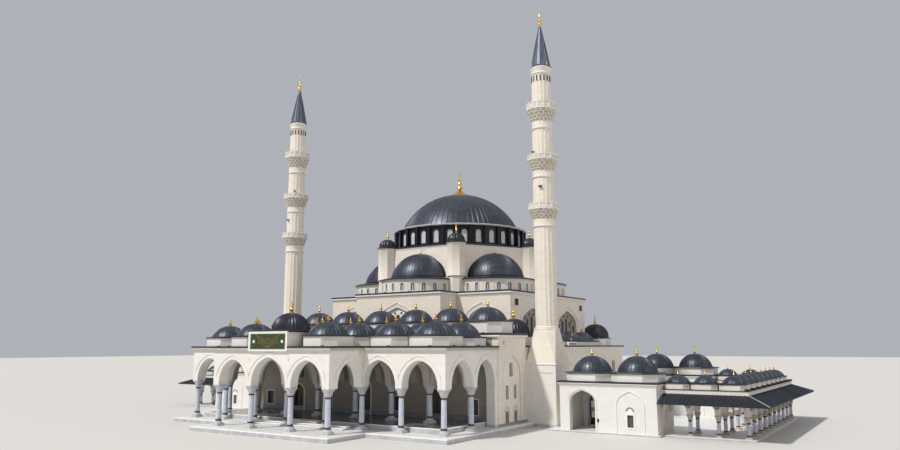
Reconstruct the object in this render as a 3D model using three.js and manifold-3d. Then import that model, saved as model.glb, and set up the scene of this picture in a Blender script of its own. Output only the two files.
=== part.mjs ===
import * as THREE from 'three';
import { mergeVertices } from 'three/addons/utils/BufferGeometryUtils.js';
import Module from 'manifold-3d';

// Domed mosque with two minarets and arcaded side courts, at one tenth of its real size.
// Millimetres, +Z up, entrance facade towards -Y, the entrance axis on X = 0, ground at Z = 0.

const wasm = await Module();
wasm.setup();
const { Manifold, Mesh } = wasm;

// Driving dimensions. One bay is the spacing of the portico columns, 6.5 m on the real building.
const bay = 650;
const gap = 0.3;
const b = (n) => n * bay;

// portico and porch
const centreBay = b(1.13);
const columnX = [centreBay / 2, centreBay / 2 + b(0.992), centreBay / 2 + b(1.985), centreBay / 2 + b(2.98)];
const porchY = -b(0.996);
const middleY = b(0.966);
const arcadeThick = b(0.2);
const crossThick = b(0.16);
const archSpan = b(0.84);
const plinthTop = b(0.09);
const floorTop = b(0.19);
const neckZ = b(0.78);
const springZ = b(0.935);
const archRise = b(0.53);
const wallHeadZ = b(1.66);
const eaveZ = b(1.742);
const eaveOut = b(0.05);
const domeRadius = b(0.41);
const drumHeight = b(0.215);
const domeRise = b(0.27);

// narthex, aisles and hall
const wallThick = b(0.14);
const bodyX = b(3.66);
const narthexY = [b(1.86), b(3.11)];
const narthexRoofZ = b(2.013);
const bodyBackY = b(9.2);
const hallX = b(2.86);
const domeY = b(6.148);
const hallY = [b(3.905), 2 * domeY - b(3.905)];
const bumpX = b(1.325);
const bumpY = [b(3.157), 2 * domeY - b(3.157)];
const hallRoofZ = b(3.09);

// dome, hexagon and half domes
const hexRadius = b(2.27);
const hexInner = b(0.17);
const hexTopZ = b(4.4);
const faceArchApexZ = b(4.16);
const exedraRadius = b(1.03);
const exedraEaveZ = b(3.455);
const exedraDomeRadius = b(0.78);
const turretRadius = b(0.25);
const turretEaveZ = b(4.415);
const drumRadius = b(1.86);
const drumTopZ = b(5.02);
const mainDomeRadius = b(1.69);
const mainDomeApexZ = b(6.11);
const mainFinialZ = b(7.05);

// minarets
const minaretX = b(4.02);
const minaretY = b(3.47);
const minaretBaseHalf = b(0.36);
const minaretRadius = b(0.25);
const minaretTipZ = b(9.94);

// side courts: the left-hand wing has a narrower gatehouse and one bay less along its front
const gateX = b(4.67);
const rightWing = { gateEnd: b(6.71), galleryX: b(8.3), bays: 3, domes: [b(5.2), b(6.18)], window: b(6.17),
  frontWays: [b(5.165)], backWays: [b(5.165)], backWindows: true };
const leftWing = { gateEnd: b(6.19), galleryX: b(7.25), bays: 2, domes: [b(5.43)], window: b(5.35),
  frontWays: [], backWays: [b(5.43)], backWindows: false };
const gateY = [b(2.67), b(3.72)];
const gateTopZ = b(1.022);
const gatewayX = b(5.165);
const gatewaySpan = b(0.557);
const gatewayApexZ = b(0.846);
const gatewaySpringZ = b(0.6);
const galleryBay = b(0.53);
const galleryY = b(3.0);
const galleryBays = 9;
const galleryFarY = galleryY + galleryBays * galleryBay;
const courtMiddleY = (galleryY + galleryFarY) / 2;
const gallerySpringZ = b(0.43);
const galleryHeadZ = b(0.86);
const galleryEaveZ = b(1.015);
const courtFloorZ = b(0.03);

// Solids from three.js geometry

function solid(geometry) {
  const bare = new THREE.BufferGeometry();
  bare.setAttribute('position', geometry.getAttribute('position'));
  if (geometry.index) bare.setIndex(geometry.index);
  const merged = mergeVertices(bare, 1e-3);
  const points = merged.getAttribute('position');
  const order = merged.index.array;
  const triangles = [];
  let volume = 0;
  const [p, q, r] = [new THREE.Vector3(), new THREE.Vector3(), new THREE.Vector3()];
  for (let i = 0; i < order.length; i += 3) {
    const [a, c, d] = [order[i], order[i + 1], order[i + 2]];
    if (a === c || c === d || d === a) continue;
    triangles.push(a, c, d);
    p.fromBufferAttribute(points, a);
    q.fromBufferAttribute(points, c);
    r.fromBufferAttribute(points, d);
    volume += p.dot(q.cross(r));
  }
  if (volume < 0) for (let i = 0; i < triangles.length; i += 3) triangles.splice(i, 2, triangles[i + 1],
    triangles[i]);
  return new Manifold(new Mesh({
    numProp: 3,
    vertProperties: new Float32Array(points.array),
    triVerts: new Uint32Array(triangles),
  }));
}

const box = (x0, x1, y0, y1, z0, z1) =>
  solid(new THREE.BoxGeometry(x1 - x0, y1 - y0, z1 - z0).translate((x0 + x1) / 2, (y0 + y1) / 2,
    (z0 + z1) / 2));

const extrude = (points, depth) => new THREE.ExtrudeGeometry(
  new THREE.Shape(points.map(([u, v]) => new THREE.Vector2(u, v))), { depth, bevelEnabled: false,
    curveSegments: 1 });

// a plan outline raised from z0 to z1
const prism = (points, z0, z1) => solid(extrude(points, z1 - z0).translate(0, 0, z0));

const pierced = (wall, holes, y0, y1) => holes.reduce((rest, hole) => rest.subtract(
  solid(extrude(hole, y1 - y0 + 4).rotateX(Math.PI / 2).translate(0, y1 + 2, 0))), wall);

// an elevation in X and Z, as thick as y0 to y1, with its windows cut through
const wallAlongX = (points, holes, y0, y1) =>
  pierced(solid(extrude(points, y1 - y0).rotateX(Math.PI / 2).translate(0, y1, 0)), holes, y0, y1);

// an elevation in Y and Z, as thick as x0 to x1, with its windows cut through
const wallAlongY = (points, holes, x0, x1) => wallAlongX(points, holes, -x1, -x0).rotate([0, 0, 90]);

// a profile of [radius, height] pairs turned about an upright axis
const turned = (profile, sides, x = 0, y = 0, phase = 0) =>
  solid(new THREE.LatheGeometry(profile.map(([r, z]) => new THREE.Vector2(Math.max(r, 0), z)), sides, phase)
    .rotateX(Math.PI / 2).translate(x, y, 0));

// the same for a profile that closes on itself, away from the axis
const ring = (profile, ...rest) => turned([...profile, profile[0]], ...rest);

const join = (...parts) => parts.flat().reduce((sum, part) => sum.add(part));
const cut = (body, ...tools) => tools.flat().reduce((rest, tool) => rest.subtract(tool), body);
const mirrored = (body) => body.mirror([1, 0, 0]);

// how far an arch swells below its point, as shares of its half span and rise
const keelShoulder = [0.5, 0.774];
const roundShoulder = [0.524, 0.947];

// the curve of a pointed arch, from its left foot over the apex to its right foot
function archCurve(centre, span, spring, rise, steps = 3, shoulder = keelShoulder) {
  const half = span / 2;
  const side = [];
  for (let i = 0; i <= steps; i++) {
    const t = i / steps;
    const s = 1 - t;
    const u = s ** 3 + 3 * s * s * t + 3 * s * t * t * shoulder[0];
    const v = 3 * s * s * t * 0.62 + 3 * s * t * t * shoulder[1] + t ** 3;
    side.push([half * u, rise * v]);
  }
  const left = side.map(([u, v]) => [centre - u, spring + v]);
  const right = side.slice(0, -1).reverse().map(([u, v]) => [centre + u, spring + v]);
  return [...left, ...right];
}

// a window outline with a pointed head
const pointedWindow = (centre, width, sill, spring, rise, steps = 1) =>
  [[centre - width / 2, sill], ...archCurve(centre, width, spring, rise, steps), [centre + width / 2, sill]];

const squareWindow = (centre, width, sill, head) =>
  [[centre - width / 2, sill], [centre - width / 2, head], [centre + width / 2, head], [centre + width / 2,
    sill]];

// the comb outline of an arcade wall: arches open downwards between start and end
function arcadeOutline(start, end, foot, head, arches, steps = 3) {
  const outline = [[start, foot]];
  for (const { centre, span, rise, spring = foot, shoulder } of arches) {
    if (spring > foot) outline.push([centre - span / 2, foot]);
    outline.push(...archCurve(centre, span, spring, rise, steps, shoulder));
    if (spring > foot) outline.push([centre + span / 2, foot]);
  }
  outline.push([end, foot], [end, head], [start, head]);
  return outline;
}

const column = (x, y, foot, neck, top, radius, sides = 6) => turned([
  [0, foot], [radius * 1.8, foot], [radius, foot + b(0.04)], [radius, neck], [radius * 1.7, top + b(0.01)],
  [0, top + b(0.01)],
], sides, x, y, Math.PI / sides);

// a square plan with its corners cut off
const cutSquare = (x, y, half, corner) => [
  [x - half + corner, y - half], [x + half - corner, y - half], [x + half, y - half + corner],
  [x + half, y + half - corner], [x + half - corner, y + half], [x - half + corner, y + half],
  [x - half, y + half - corner], [x - half, y - half + corner],
];

// the arc of a dome that is less than half a ball, from its foot to its crown
function domeCurve(radius, base, rise, rows) {
  const ball = (radius * radius + rise * rise) / (2 * rise);
  const foot = Math.asin(Math.min(1, radius / ball));
  return Array.from({ length: rows + 1 }, (_, i) => {
    const t = foot * (1 - i / rows);
    return [ball * Math.sin(t), base + rise - ball * (1 - Math.cos(t))];
  });
}

// a dome that ends in a slender spike, as a closed solid on its axis
function cap(x, y, radius, base, rise, rows, sides, tip, size) {
  const curve = domeCurve(radius, base, rise, rows).slice(0, -1);
  return turned([[0, base - b(0.01)], [radius, base - b(0.01)], ...curve, [size, base + rise], [0, tip]],
    sides, x, y, Math.PI / sides);
}

const hollow = (x, y, radius, base, rise, rows, sides, foot) =>
  turned([[0, foot], [radius, foot], ...domeCurve(radius, base, rise, rows)], sides, x, y, Math.PI / sides);

// a roof bay: a low drum with cut corners, its dome and finial, and the hollow beneath
function roofBay(x, y, half, corner, roof, drum, radius, rise, tip) {
  const body = join(
    prism(cutSquare(x, y, half, corner), roof - b(0.01), roof + drum),
    cap(x, y, radius, roof + drum, rise, 3, 8, tip, b(0.02)));
  const inside = hollow(x, y, radius * 0.88, roof + drum * 0.6, rise * 0.9, 2, 6, wallHeadZ - b(1));
  return { body, inside };
}

const group = new THREE.Group();
group.name = 'mosque';

const stone = { color: 0xe6dfd0, roughness: 0.75, metalness: 0 };
const paleStone = { color: 0xefece4, roughness: 0.7, metalness: 0 };
const floorStone = { color: 0xd9d9dc, roughness: 0.5, metalness: 0 };
const lead = { color: 0x4a5160, roughness: 0.5, metalness: 0.5 };
const signGreen = { color: 0x2f6d4c, roughness: 0.4, metalness: 0.1 };
const iron = { color: 0x2b2b30, roughness: 0.5, metalness: 0.8 };

function piece(name, body, look, place = [0, 0, 0]) {
  const { vertProperties, numProp, triVerts } = body.getMesh();
  const points = new Float32Array((vertProperties.length / numProp) * 3);
  for (let i = 0; i < points.length / 3; i++) {
    for (let k = 0; k < 3; k++) points[3 * i + k] = vertProperties[i * numProp + k] - place[k];
  }
  const geometry = new THREE.BufferGeometry();
  geometry.setAttribute('position', new THREE.BufferAttribute(points, 3));
  geometry.setIndex(new THREE.BufferAttribute(new Uint32Array(triVerts), 1));
  geometry.computeVertexNormals();
  const { color, roughness, metalness } = look;
  const mesh = new THREE.Mesh(geometry, new THREE.MeshStandardMaterial({ color, roughness, metalness }));
  mesh.name = name;
  mesh.position.set(...place);
  group.add(mesh);
}

const both = (name, body, look) => {
  piece(`${name}_right`, body, look);
  piece(`${name}_left`, mirrored(body), look);
};

// Plinth and floors

const [c1, c2, c3, c4] = columnX;
piece('stylobate', prism([
  [-b(3.87), -b(0.39)], [-b(1.95), -b(0.39)], [-b(1.95), -b(1.42)], [b(1.95), -b(1.42)], [b(1.95), -b(0.39)],
  [b(3.87), -b(0.39)], [b(3.87), minaretY - minaretBaseHalf - gap], [bodyX, minaretY - minaretBaseHalf - gap],
  [bodyX, bodyBackY], [-bodyX, bodyBackY], [-bodyX, minaretY - minaretBaseHalf - gap],
  [-b(3.87), minaretY - minaretBaseHalf - gap],
], 0, plinthTop), floorStone);

const porticoFloorX = b(3.42);
piece('portico_floor', join(
  box(-porticoFloorX, porticoFloorX, b(0.13), narthexY[0] - gap, plinthTop, floorTop),
  box(-b(0.42), b(0.42), -b(0.1), b(0.14), plinthTop, floorTop),
  box(-b(1.35), b(1.35), -b(0.22), -b(0.11), plinthTop, floorTop - b(0.033)),
  box(-b(0.42), b(0.42), -b(0.12), -b(0.09), plinthTop, floorTop - b(0.033)),
  box(-b(1.35), b(1.35), -b(0.33), -b(0.21), plinthTop, floorTop - b(0.066)),
), floorStone);

piece('hall_floor', join(box(-bodyX + wallThick + gap, bodyX - wallThick - gap, narthexY[0] + wallThick + gap,
  bodyBackY - wallThick - gap, plinthTop, floorTop),
box(-bumpX, bumpX, bodyBackY - b(1), bumpY[1], plinthTop, floorTop)), floorStone);

// Arcades of the porch and the portico

const half = arcadeThick / 2;
const archAt = (centre, span = archSpan, rise = archRise) => ({ centre, span, rise,
  shoulder: roundShoulder });
const centreSpan = centreBay - (b(0.992) - archSpan);
const columnRadius = b(0.056);

const porchFront = join(
  wallAlongX(arcadeOutline(-c2 - half, c2 + half, springZ, wallHeadZ, [
    archAt(-(c1 + c2) / 2), archAt(0, centreSpan, b(0.58)), archAt((c1 + c2) / 2)]), [], porchY - half,
      porchY + half),
  [-c2, -c1, c1, c2].map((x) => column(x, porchY, plinthTop, neckZ, springZ, columnRadius)),
  [-c2, c2].map((x) => wallAlongY(arcadeOutline(porchY + half - 1, -half - gap, springZ, wallHeadZ, [
    archAt(porchY / 2, b(0.7), b(0.5))]), [], x - half, x + half)));
piece('porch_arcade', porchFront, paleStone);

const bayCentres = [-(c3 + c4) / 2, -(c2 + c3) / 2, -(c1 + c2) / 2, 0, (c1 + c2) / 2, (c2 + c3) / 2,
  (c3 + c4) / 2];
const sevenArches = bayCentres.map((x) => (x === 0 ? archAt(0, centreSpan, b(0.56)) : archAt(x)));
const lines = [-c4, -c3, -c2, -c1, c1, c2, c3, c4];
piece('front_arcade', join(
  wallAlongX(arcadeOutline(-c4 - half, c4 + half, springZ, wallHeadZ, sevenArches), [], -half, half),
  lines.map((x) => column(x, 0, plinthTop, neckZ, springZ, columnRadius))), paleStone);

const crossArch = (x) => join(
  wallAlongY(arcadeOutline(half + gap, middleY, springZ, wallHeadZ, [archAt(middleY / 2, b(0.72),
    b(0.5))]), [],
    x - crossThick / 2, x + crossThick / 2),
  wallAlongY(arcadeOutline(middleY, narthexY[0] - gap, springZ, wallHeadZ, [archAt(b(1.42), b(0.68),
    b(0.5))]), [],
    x - crossThick / 2, x + crossThick / 2));
const middleRow = wallAlongX(arcadeOutline(-c4 + half + gap, c4 - half - gap, springZ, wallHeadZ,
  sevenArches.map((arch, i) => ((i === 0 || i === 6) ? { ...arch, span: b(0.74) } : arch))), [],
middleY - half, middleY + half);
both('inner_arcades', join(
  cut(middleRow, box(-c4, gap, -b(1), b(3), 0, b(2))),
  [c1, c2, c3].map((x) => column(x, middleY, floorTop, neckZ, springZ, columnRadius)),
  [c1, c2, c3].map(crossArch)), paleStone);

const sideArcade = join(
  wallAlongY(arcadeOutline(half + gap, narthexY[0] - gap, springZ, wallHeadZ, [
    archAt(b(0.5), b(0.78)), archAt(b(1.385), b(0.69))]), [], c4 - half, c4 + half),
  column(c4, middleY, plinthTop, neckZ, springZ, columnRadius),
  box(c4 - half, c4 + half, b(1.73), narthexY[0] - gap, plinthTop, springZ + b(0.02)));
both('portico_side_arcade', sideArcade, paleStone);

// Portico roofs: eave slabs, drums and domes

function domedRoof(slab, bays) {
  let body = slab;
  for (const { body: dome } of bays) body = body.add(dome);
  for (const { inside } of bays) body = body.subtract(inside);
  return body;
}

const porchSideX = (c1 + c2) / 2;
const porchBackY = -b(0.03);
const porchHalfRoof = (x0, x1) => box(x0, x1, porchY - half - eaveOut, porchBackY - gap, wallHeadZ, eaveZ);
const porchBay = (x) => roofBay(x, b(-0.5), b(0.462), b(0.23), eaveZ, drumHeight, b(0.4), domeRise, b(2.3));
both('porch_roof', domedRoof(porchHalfRoof(b(0.55) + gap, c2 + half + eaveOut), [porchBay(porchSideX)]),
  lead);

piece('portico_roof', domedRoof(
  cut(box(-c4 - half - eaveOut, c4 + half + eaveOut, -half - eaveOut, narthexY[0] - gap, wallHeadZ, eaveZ),
    box(-c2 - half - eaveOut - gap, c2 + half + eaveOut + gap, -b(1), porchBackY, wallHeadZ - 1, eaveZ + 1)),
  [...bayCentres.map((x) => roofBay(x, b(0.452), b(0.478), b(0.24), eaveZ, drumHeight, domeRadius,
    domeRise, b(2.3))),
    ...bayCentres.map((x) => roofBay(x, b(1.396), b(0.46), b(0.23), eaveZ, b(0.185), b(0.4),
      domeRise + b(0.03), b(2.29)))]),
lead);

// Entrance block over the middle bay of the porch

const blockTop = b(2.06);
const blockDomeY = -b(0.5);
const blockDome = hollow(0, blockDomeY, b(0.36), b(2.07), b(0.3), 3, 12, b(1.5));
piece('entrance_block', cut(join(
  box(-b(0.55), b(0.55), porchY - half, porchBackY - gap, wallHeadZ, blockTop - b(0.04)),
  box(-b(0.59), b(0.59), porchY - half - eaveOut, porchBackY - gap, blockTop - b(0.04) - 1, blockTop)),
box(-b(0.45), b(0.45), porchY + half, -b(0.15), wallHeadZ - 10, blockTop - b(0.08)), blockDome), paleStone);

const ribbedCap = cap(0, blockDomeY, b(0.4), blockTop + b(0.04), b(0.34), 4, 16, b(2.7), b(0.022));
piece('entrance_dome', cut(join(ribbedCap, turned([[0, blockTop], [b(0.42), blockTop], [b(0.42),
  blockTop + b(0.05)],
  [0, blockTop + b(0.05)]], 16, 0, blockDomeY, Math.PI / 16)), blockDome), lead);

piece('entrance_sign', join(
  box(-b(0.535), b(0.535), porchY - half - b(0.035), porchY - half - gap, b(1.66) - b(0.03), b(2.018)),
), signGreen);

// Narthex: front wall with doors, side walls with windows, an open rear wall and its roof

const doorAt = (centre, width, head) => ({ centre, span: width, spring: head, rise: width * 0.55 });
const narthexFront = wallAlongX(arcadeOutline(-bodyX, bodyX, plinthTop, narthexRoofZ - b(0.08), [
  doorAt(bayCentres[1], b(0.36), b(0.62)), doorAt(0, b(0.5), b(0.75)), doorAt(bayCentres[5], b(0.36),
    b(0.62))], 4),
[bayCentres[0], bayCentres[2], bayCentres[4], bayCentres[6]].map((x) => squareWindow(x, b(0.24), b(0.3),
  b(0.62))),
narthexY[0], narthexY[0] + wallThick);
const narthexSide = wallAlongY([
  [narthexY[0] + 1, plinthTop], [narthexY[1], plinthTop], [narthexY[1], narthexRoofZ - b(0.08)],
  [narthexY[0] + 1, narthexRoofZ - b(0.08)]], [
  pointedWindow(b(2.44), b(0.2), b(1.09), b(1.3), b(0.1)),
  pointedWindow(b(2.25), b(0.15), b(0.62), b(0.83), b(0.08)), pointedWindow(b(2.63), b(0.15), b(0.62),
    b(0.83), b(0.08)),
  squareWindow(b(2.25), b(0.17), b(0.17), b(0.38)), squareWindow(b(2.63), b(0.17), b(0.17), b(0.38)),
], bodyX - wallThick, bodyX);
piece('narthex_walls', join(narthexFront, narthexSide, mirrored(narthexSide)), stone);

piece('narthex_rear_arcade', wallAlongX(arcadeOutline(-bodyX + wallThick + gap, bodyX - wallThick - gap,
  floorTop,
  narthexRoofZ - b(0.08), [-2.85, -2.0, 0, 2.0, 2.85].map((x) => ({
    centre: b(x), span: x === 0 ? b(2.1) : b(0.66), spring: x === 0 ? b(0.75) : b(0.95),
      rise: x === 0 ? b(0.6) : b(0.4),
  })), 4), [], narthexY[1] - wallThick, narthexY[1]), stone);

const upperBay = (x) => roofBay(x, b(2.52), b(0.478), b(0.24), narthexRoofZ, b(0.275), b(0.42), b(0.3),
  b(2.72));
piece('narthex_roof', domedRoof(
  box(-bodyX - eaveOut, bodyX + eaveOut, narthexY[0] - eaveOut, narthexY[1] + b(0.02),
    narthexRoofZ - b(0.08), narthexRoofZ),
  bayCentres.map(upperBay)), lead);

// Aisles: outer walls, rear wall and flat roofs with small domes

const aisleWindows = [4.45, 5.25, 6.05, 6.85, 7.65, 8.45].flatMap((y) => [
  squareWindow(b(y), b(0.2), b(0.3), b(0.62)), pointedWindow(b(y), b(0.24), b(0.85), b(1.24), b(0.12))]);
const aisleHead = eaveZ - b(0.07);
both('aisle_wall', wallAlongY([[narthexY[1] + gap, plinthTop], [bodyBackY, plinthTop], [bodyBackY, aisleHead],
  [narthexY[1] + gap, aisleHead]], aisleWindows, bodyX - wallThick, bodyX), stone);
both('rear_wall', wallAlongX([[bumpX + gap, plinthTop], [bodyX - wallThick - gap, plinthTop],
  [bodyX - wallThick - gap, aisleHead], [bumpX + gap, aisleHead]],
[2.1, 3.0].flatMap((x) => [squareWindow(b(x), b(0.2), b(0.3), b(0.62)),
  pointedWindow(b(x), b(0.24), b(0.85), b(1.24), b(0.12))]), bodyBackY - wallThick, bodyBackY), stone);

const ribbedDomes = [[b(3.15), b(3.5175)], [b(3.02), 2 * domeY - b(3.5175)]];
const tierX = b(3.55);
const tierY = [b(4.62), 2 * domeY - b(4.62)];
const tierTopZ = b(1.86);
const aisleSlab = prism([
  [bumpX + gap, narthexY[1] + b(0.02) + gap], [bodyX + eaveOut - b(0.05) - gap, narthexY[1] + b(0.02) + gap],
  [bodyX - gap, minaretY + minaretBaseHalf + gap], [bodyX + eaveOut, minaretY + minaretBaseHalf + gap],
  [bodyX + eaveOut, bodyBackY + eaveOut], [bumpX + gap, bodyBackY + eaveOut], [bumpX + gap, hallY[1] + gap],
  [hallX + gap, hallY[1] + gap], [hallX + gap, hallY[0] - gap], [bumpX + gap, hallY[0] - gap]], aisleHead,
    eaveZ);
const ribbedDome = ([x, y]) => join(
  prism(cutSquare(x, y, b(0.384), b(0.17)), eaveZ - b(0.01), eaveZ + b(0.225)),
  cap(x, y, b(0.383), eaveZ + b(0.225), b(0.405), 3, 12, b(2.6), b(0.018)));
both('aisle_roof', join(aisleSlab, ribbedDomes.map(ribbedDome),
  box(hallX + gap, tierX, tierY[0], tierY[1], eaveZ - 1, tierTopZ),
  [-1.2, -0.4, 0.4, 1.2].map((y) => cap(b(3.2), domeY + b(y), b(0.33), tierTopZ, b(0.25), 3, 10, b(2.25),
    b(0.014))),
  cap(b(3.46), domeY, b(0.14), tierTopZ, b(0.12), 2, 8, b(2.06), b(0.01))), lead);

// Hall: stepped front and rear walls, side walls and the roof round the hexagon

const hallHead = hallRoofZ - b(0.07);
function hallFront() {
  const bump = wallAlongX(arcadeOutline(-bumpX, bumpX, floorTop, hallHead, [
    { centre: 0, span: b(2.0), spring: b(0.75), rise: b(0.6) }], 4),
  [pointedWindow(0, b(0.66), b(1.95), b(2.42), b(0.28), 3)], bumpY[0], bumpY[0] + wallThick);
  const step = box(bumpX - wallThick, bumpX, bumpY[0] + 1, hallY[0] + 1, floorTop, hallHead);
  const shoulder = wallAlongX(arcadeOutline(bumpX - wallThick, hallX, floorTop, hallHead, [
    { centre: b(2.08), span: b(0.9), spring: b(0.95), rise: b(0.5) }], 4),
  [pointedWindow(b(2.08), b(0.56), b(1.95), b(2.42), b(0.24), 3)], hallY[0], hallY[0] + wallThick);
  return join(bump, step, mirrored(step), shoulder, mirrored(shoulder));
}
const frontBody = hallFront();
piece('hall_front_wall', frontBody, stone);
const rearBody = frontBody.mirror([0, 1, 0]).translate([0, 2 * domeY, 0]);
piece('hall_rear_wall', join(rearBody, box(-b(1.02), b(1.02), bumpY[1] - wallThick, bumpY[1], floorTop,
  b(1.4))), stone);
both('hall_side_wall', wallAlongY(arcadeOutline(hallY[0] + wallThick + gap, hallY[1] - wallThick - gap,
  floorTop, hallHead,
  [-1.4, 0, 1.4].map((y) => ({ centre: domeY + b(y), span: b(1.16), spring: b(0.85), rise: b(0.6) })), 4),
[-1.05, 1.05].map((y) => pointedWindow(domeY + b(y), b(1.2), b(1.95), b(2.25), b(0.44), 4)),
hallX - wallThick, hallX), stone);

const roofOut = b(0.04);
const crossPlan = (o) => [
  [-bumpX - o, bumpY[0] - o], [bumpX + o, bumpY[0] - o], [bumpX + o, hallY[0] - o], [hallX + o, hallY[0] - o],
  [hallX + o, hallY[1] + o], [bumpX + o, hallY[1] + o], [bumpX + o, bumpY[1] + o], [-bumpX - o, bumpY[1] + o],
  [-bumpX - o, hallY[1] + o], [-hallX - o, hallY[1] + o], [-hallX - o, hallY[0] - o], [-bumpX - o,
    hallY[0] - o],
];
const hexPlan = (radius) => Array.from({ length: 6 }, (_, i) => {
  const t = Math.PI / 6 + i * Math.PI / 3;
  return [radius * Math.sin(t), domeY - radius * Math.cos(t)];
});
const apothem = hexRadius * Math.cos(Math.PI / 6);
const faceAngles = [0, 1, 2, 3, 4, 5].map((i) => i * Math.PI / 3);
const faceCentre = (t, r) => [r * Math.sin(t), domeY - r * Math.cos(t)];
const hallRoof = cut(prism(crossPlan(roofOut), hallHead, hallRoofZ),
  prism(hexPlan(hexRadius - b(0.34)), 0, b(4)),
  faceAngles.map((t) => {
    const [x, y] = faceCentre(t, apothem - b(0.1));
    return turned([[0, b(2)], [exedraRadius - b(0.16), b(2)], [exedraRadius - b(0.16), b(4)], [0, b(4)]],
      12, x, y);
  }));
piece('hall_roof', hallRoof, lead);

// Hexagon below the main dome, with six face arches and six corner turrets

const archBar = (t) => {
  const span = 2 * exedraDomeRadius;
  const outline = [[-span / 2, hallRoofZ - 10], ...archCurve(0, span, b(3.5), faceArchApexZ - b(3.5), 4),
    [span / 2, hallRoofZ - 10]];
  return solid(extrude(outline, b(6)).rotateX(Math.PI / 2).translate(0, b(3), 0).rotateZ(t).translate(0,
    domeY, 0));
};
const turret = (x, y) => (
  turned([[0, hallRoofZ], [turretRadius * 0.88, hallRoofZ], [turretRadius * 0.88, b(3.5)],
    [turretRadius * 1.04, b(3.52)],
    [turretRadius * 1.04, turretEaveZ],
    ...domeCurve(turretRadius * 0.9, turretEaveZ, b(0.22), 2).slice(1, -1), [b(0.016), turretEaveZ + b(0.22)],
    [0, b(4.86)]], 8, x, y, Math.PI / 8));
const hexBody = cut(join(
  cut(prism(hexPlan(hexRadius), hallRoofZ, hexTopZ), prism(hexPlan(hexRadius - hexInner), hallRoofZ - 5,
    hexTopZ - b(0.1)),
    turned([[0, b(4)], [drumRadius - b(0.2), b(4)], [drumRadius - b(0.2), b(5)], [0, b(5)]], 18, 0, domeY)),
  hexPlan(hexRadius).map(([x, y]) => turret(x, y))),
[0, 1, 2].map((i) => archBar(i * Math.PI / 3)));
piece('dome_base', hexBody, paleStone);

// Half domes on their window drums, one against each face of the hexagon

const exedraWindows = 10;
function exedra(t) {
  const rim = exedraRadius;
  const inner = rim - b(0.13);
  const shell = ring([
    [inner, hallRoofZ], [rim, hallRoofZ], [rim, exedraEaveZ - b(0.03)], [rim + b(0.05),
      exedraEaveZ - b(0.03)],
    [rim + b(0.05), exedraEaveZ],
    ...domeCurve(exedraDomeRadius, exedraEaveZ + b(0.06), b(0.66), 4),
    ...domeCurve(exedraDomeRadius - b(0.08), exedraEaveZ, b(0.64), 3).reverse(),
    [inner, exedraEaveZ - b(0.04)],
  ], 20, 0, 0, 0);
  const opening = (i) => {
    const a = (i - (exedraWindows - 1) / 2) * THREE.MathUtils.degToRad(16);
    const slot = squareWindow(0, b(0.105), hallRoofZ + b(0.035), hallRoofZ + b(0.22));
    return solid(extrude(slot, b(1.4)).rotateX(Math.PI / 2).rotateZ(a));
  };
  const openings = Array.from({ length: exedraWindows }, (_, i) => opening(i));
  const side = new THREE.BoxGeometry(b(3), b(3), b(4)).translate(0, -b(1.5) - gap, b(3.5));
  const [x, y] = faceCentre(t, apothem);
  const turn = (body) => body.rotate([0, 0, (t * 180) / Math.PI]).translate([x, y, 0]);
  return turn(cut(shell, openings).intersect(solid(side)));
}
const exedraNames = ['front', 'front_right', 'rear_right', 'rear', 'rear_left', 'front_left'];
faceAngles.forEach((t, i) => piece(`half_dome_${exedraNames[i]}`, cut(exedra(t),
  hexPlan(hexRadius).map(([x, y]) =>
  turned([[0, b(3)], [turretRadius * 1.04 + 2, b(3)], [turretRadius * 1.04 + 2, b(4.5)], [0, b(4.5)]], 8,
    x, y, Math.PI / 8))), lead));

// Window drum and main dome

const drumWindows = 30;
const drumShell = ring([
  [drumRadius - b(0.18), hexTopZ], [drumRadius, hexTopZ], [drumRadius, b(4.92)], [drumRadius + b(0.08),
    b(4.95)],
  [drumRadius + b(0.08), b(4.99)], [mainDomeRadius, drumTopZ], [mainDomeRadius - b(0.12), drumTopZ]], 30,
    0, domeY, Math.PI / 30);
piece('window_drum', cut(drumShell, Array.from({ length: drumWindows / 2 }, (_, i) => {
  const slot = squareWindow(0, b(0.16), b(4.485), b(4.83));
  return solid(extrude(slot, b(5)).rotateX(Math.PI / 2).translate(0, b(2.5), 0)
    .rotateZ((i * 2 * Math.PI) / drumWindows).translate(0, domeY, 0));
})), stone);

const domeBaseZ = drumTopZ;
const mainRise = mainDomeApexZ - domeBaseZ;
const outer = domeCurve(mainDomeRadius, domeBaseZ, mainRise, 6).slice(0, -1);
const inner = domeCurve(mainDomeRadius - b(0.1), domeBaseZ, mainRise - b(0.1), 3).reverse();
piece('main_dome', turned([...inner, ...outer, [0, mainDomeApexZ]], 28, 0, domeY).add(turned([[0,
  mainDomeApexZ - b(0.05)], [b(0.1), mainDomeApexZ - b(0.05)],
  [b(0.03), b(6.16)], [b(0.075), b(6.27)], [b(0.025), b(6.38)], [b(0.055), b(6.46)], [b(0.015), b(6.56)],
    [0, mainFinialZ]],
8, 0, domeY)), lead);

// Minarets: square base with a flared shoulder, and the shaft with three balconies and spire

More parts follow.
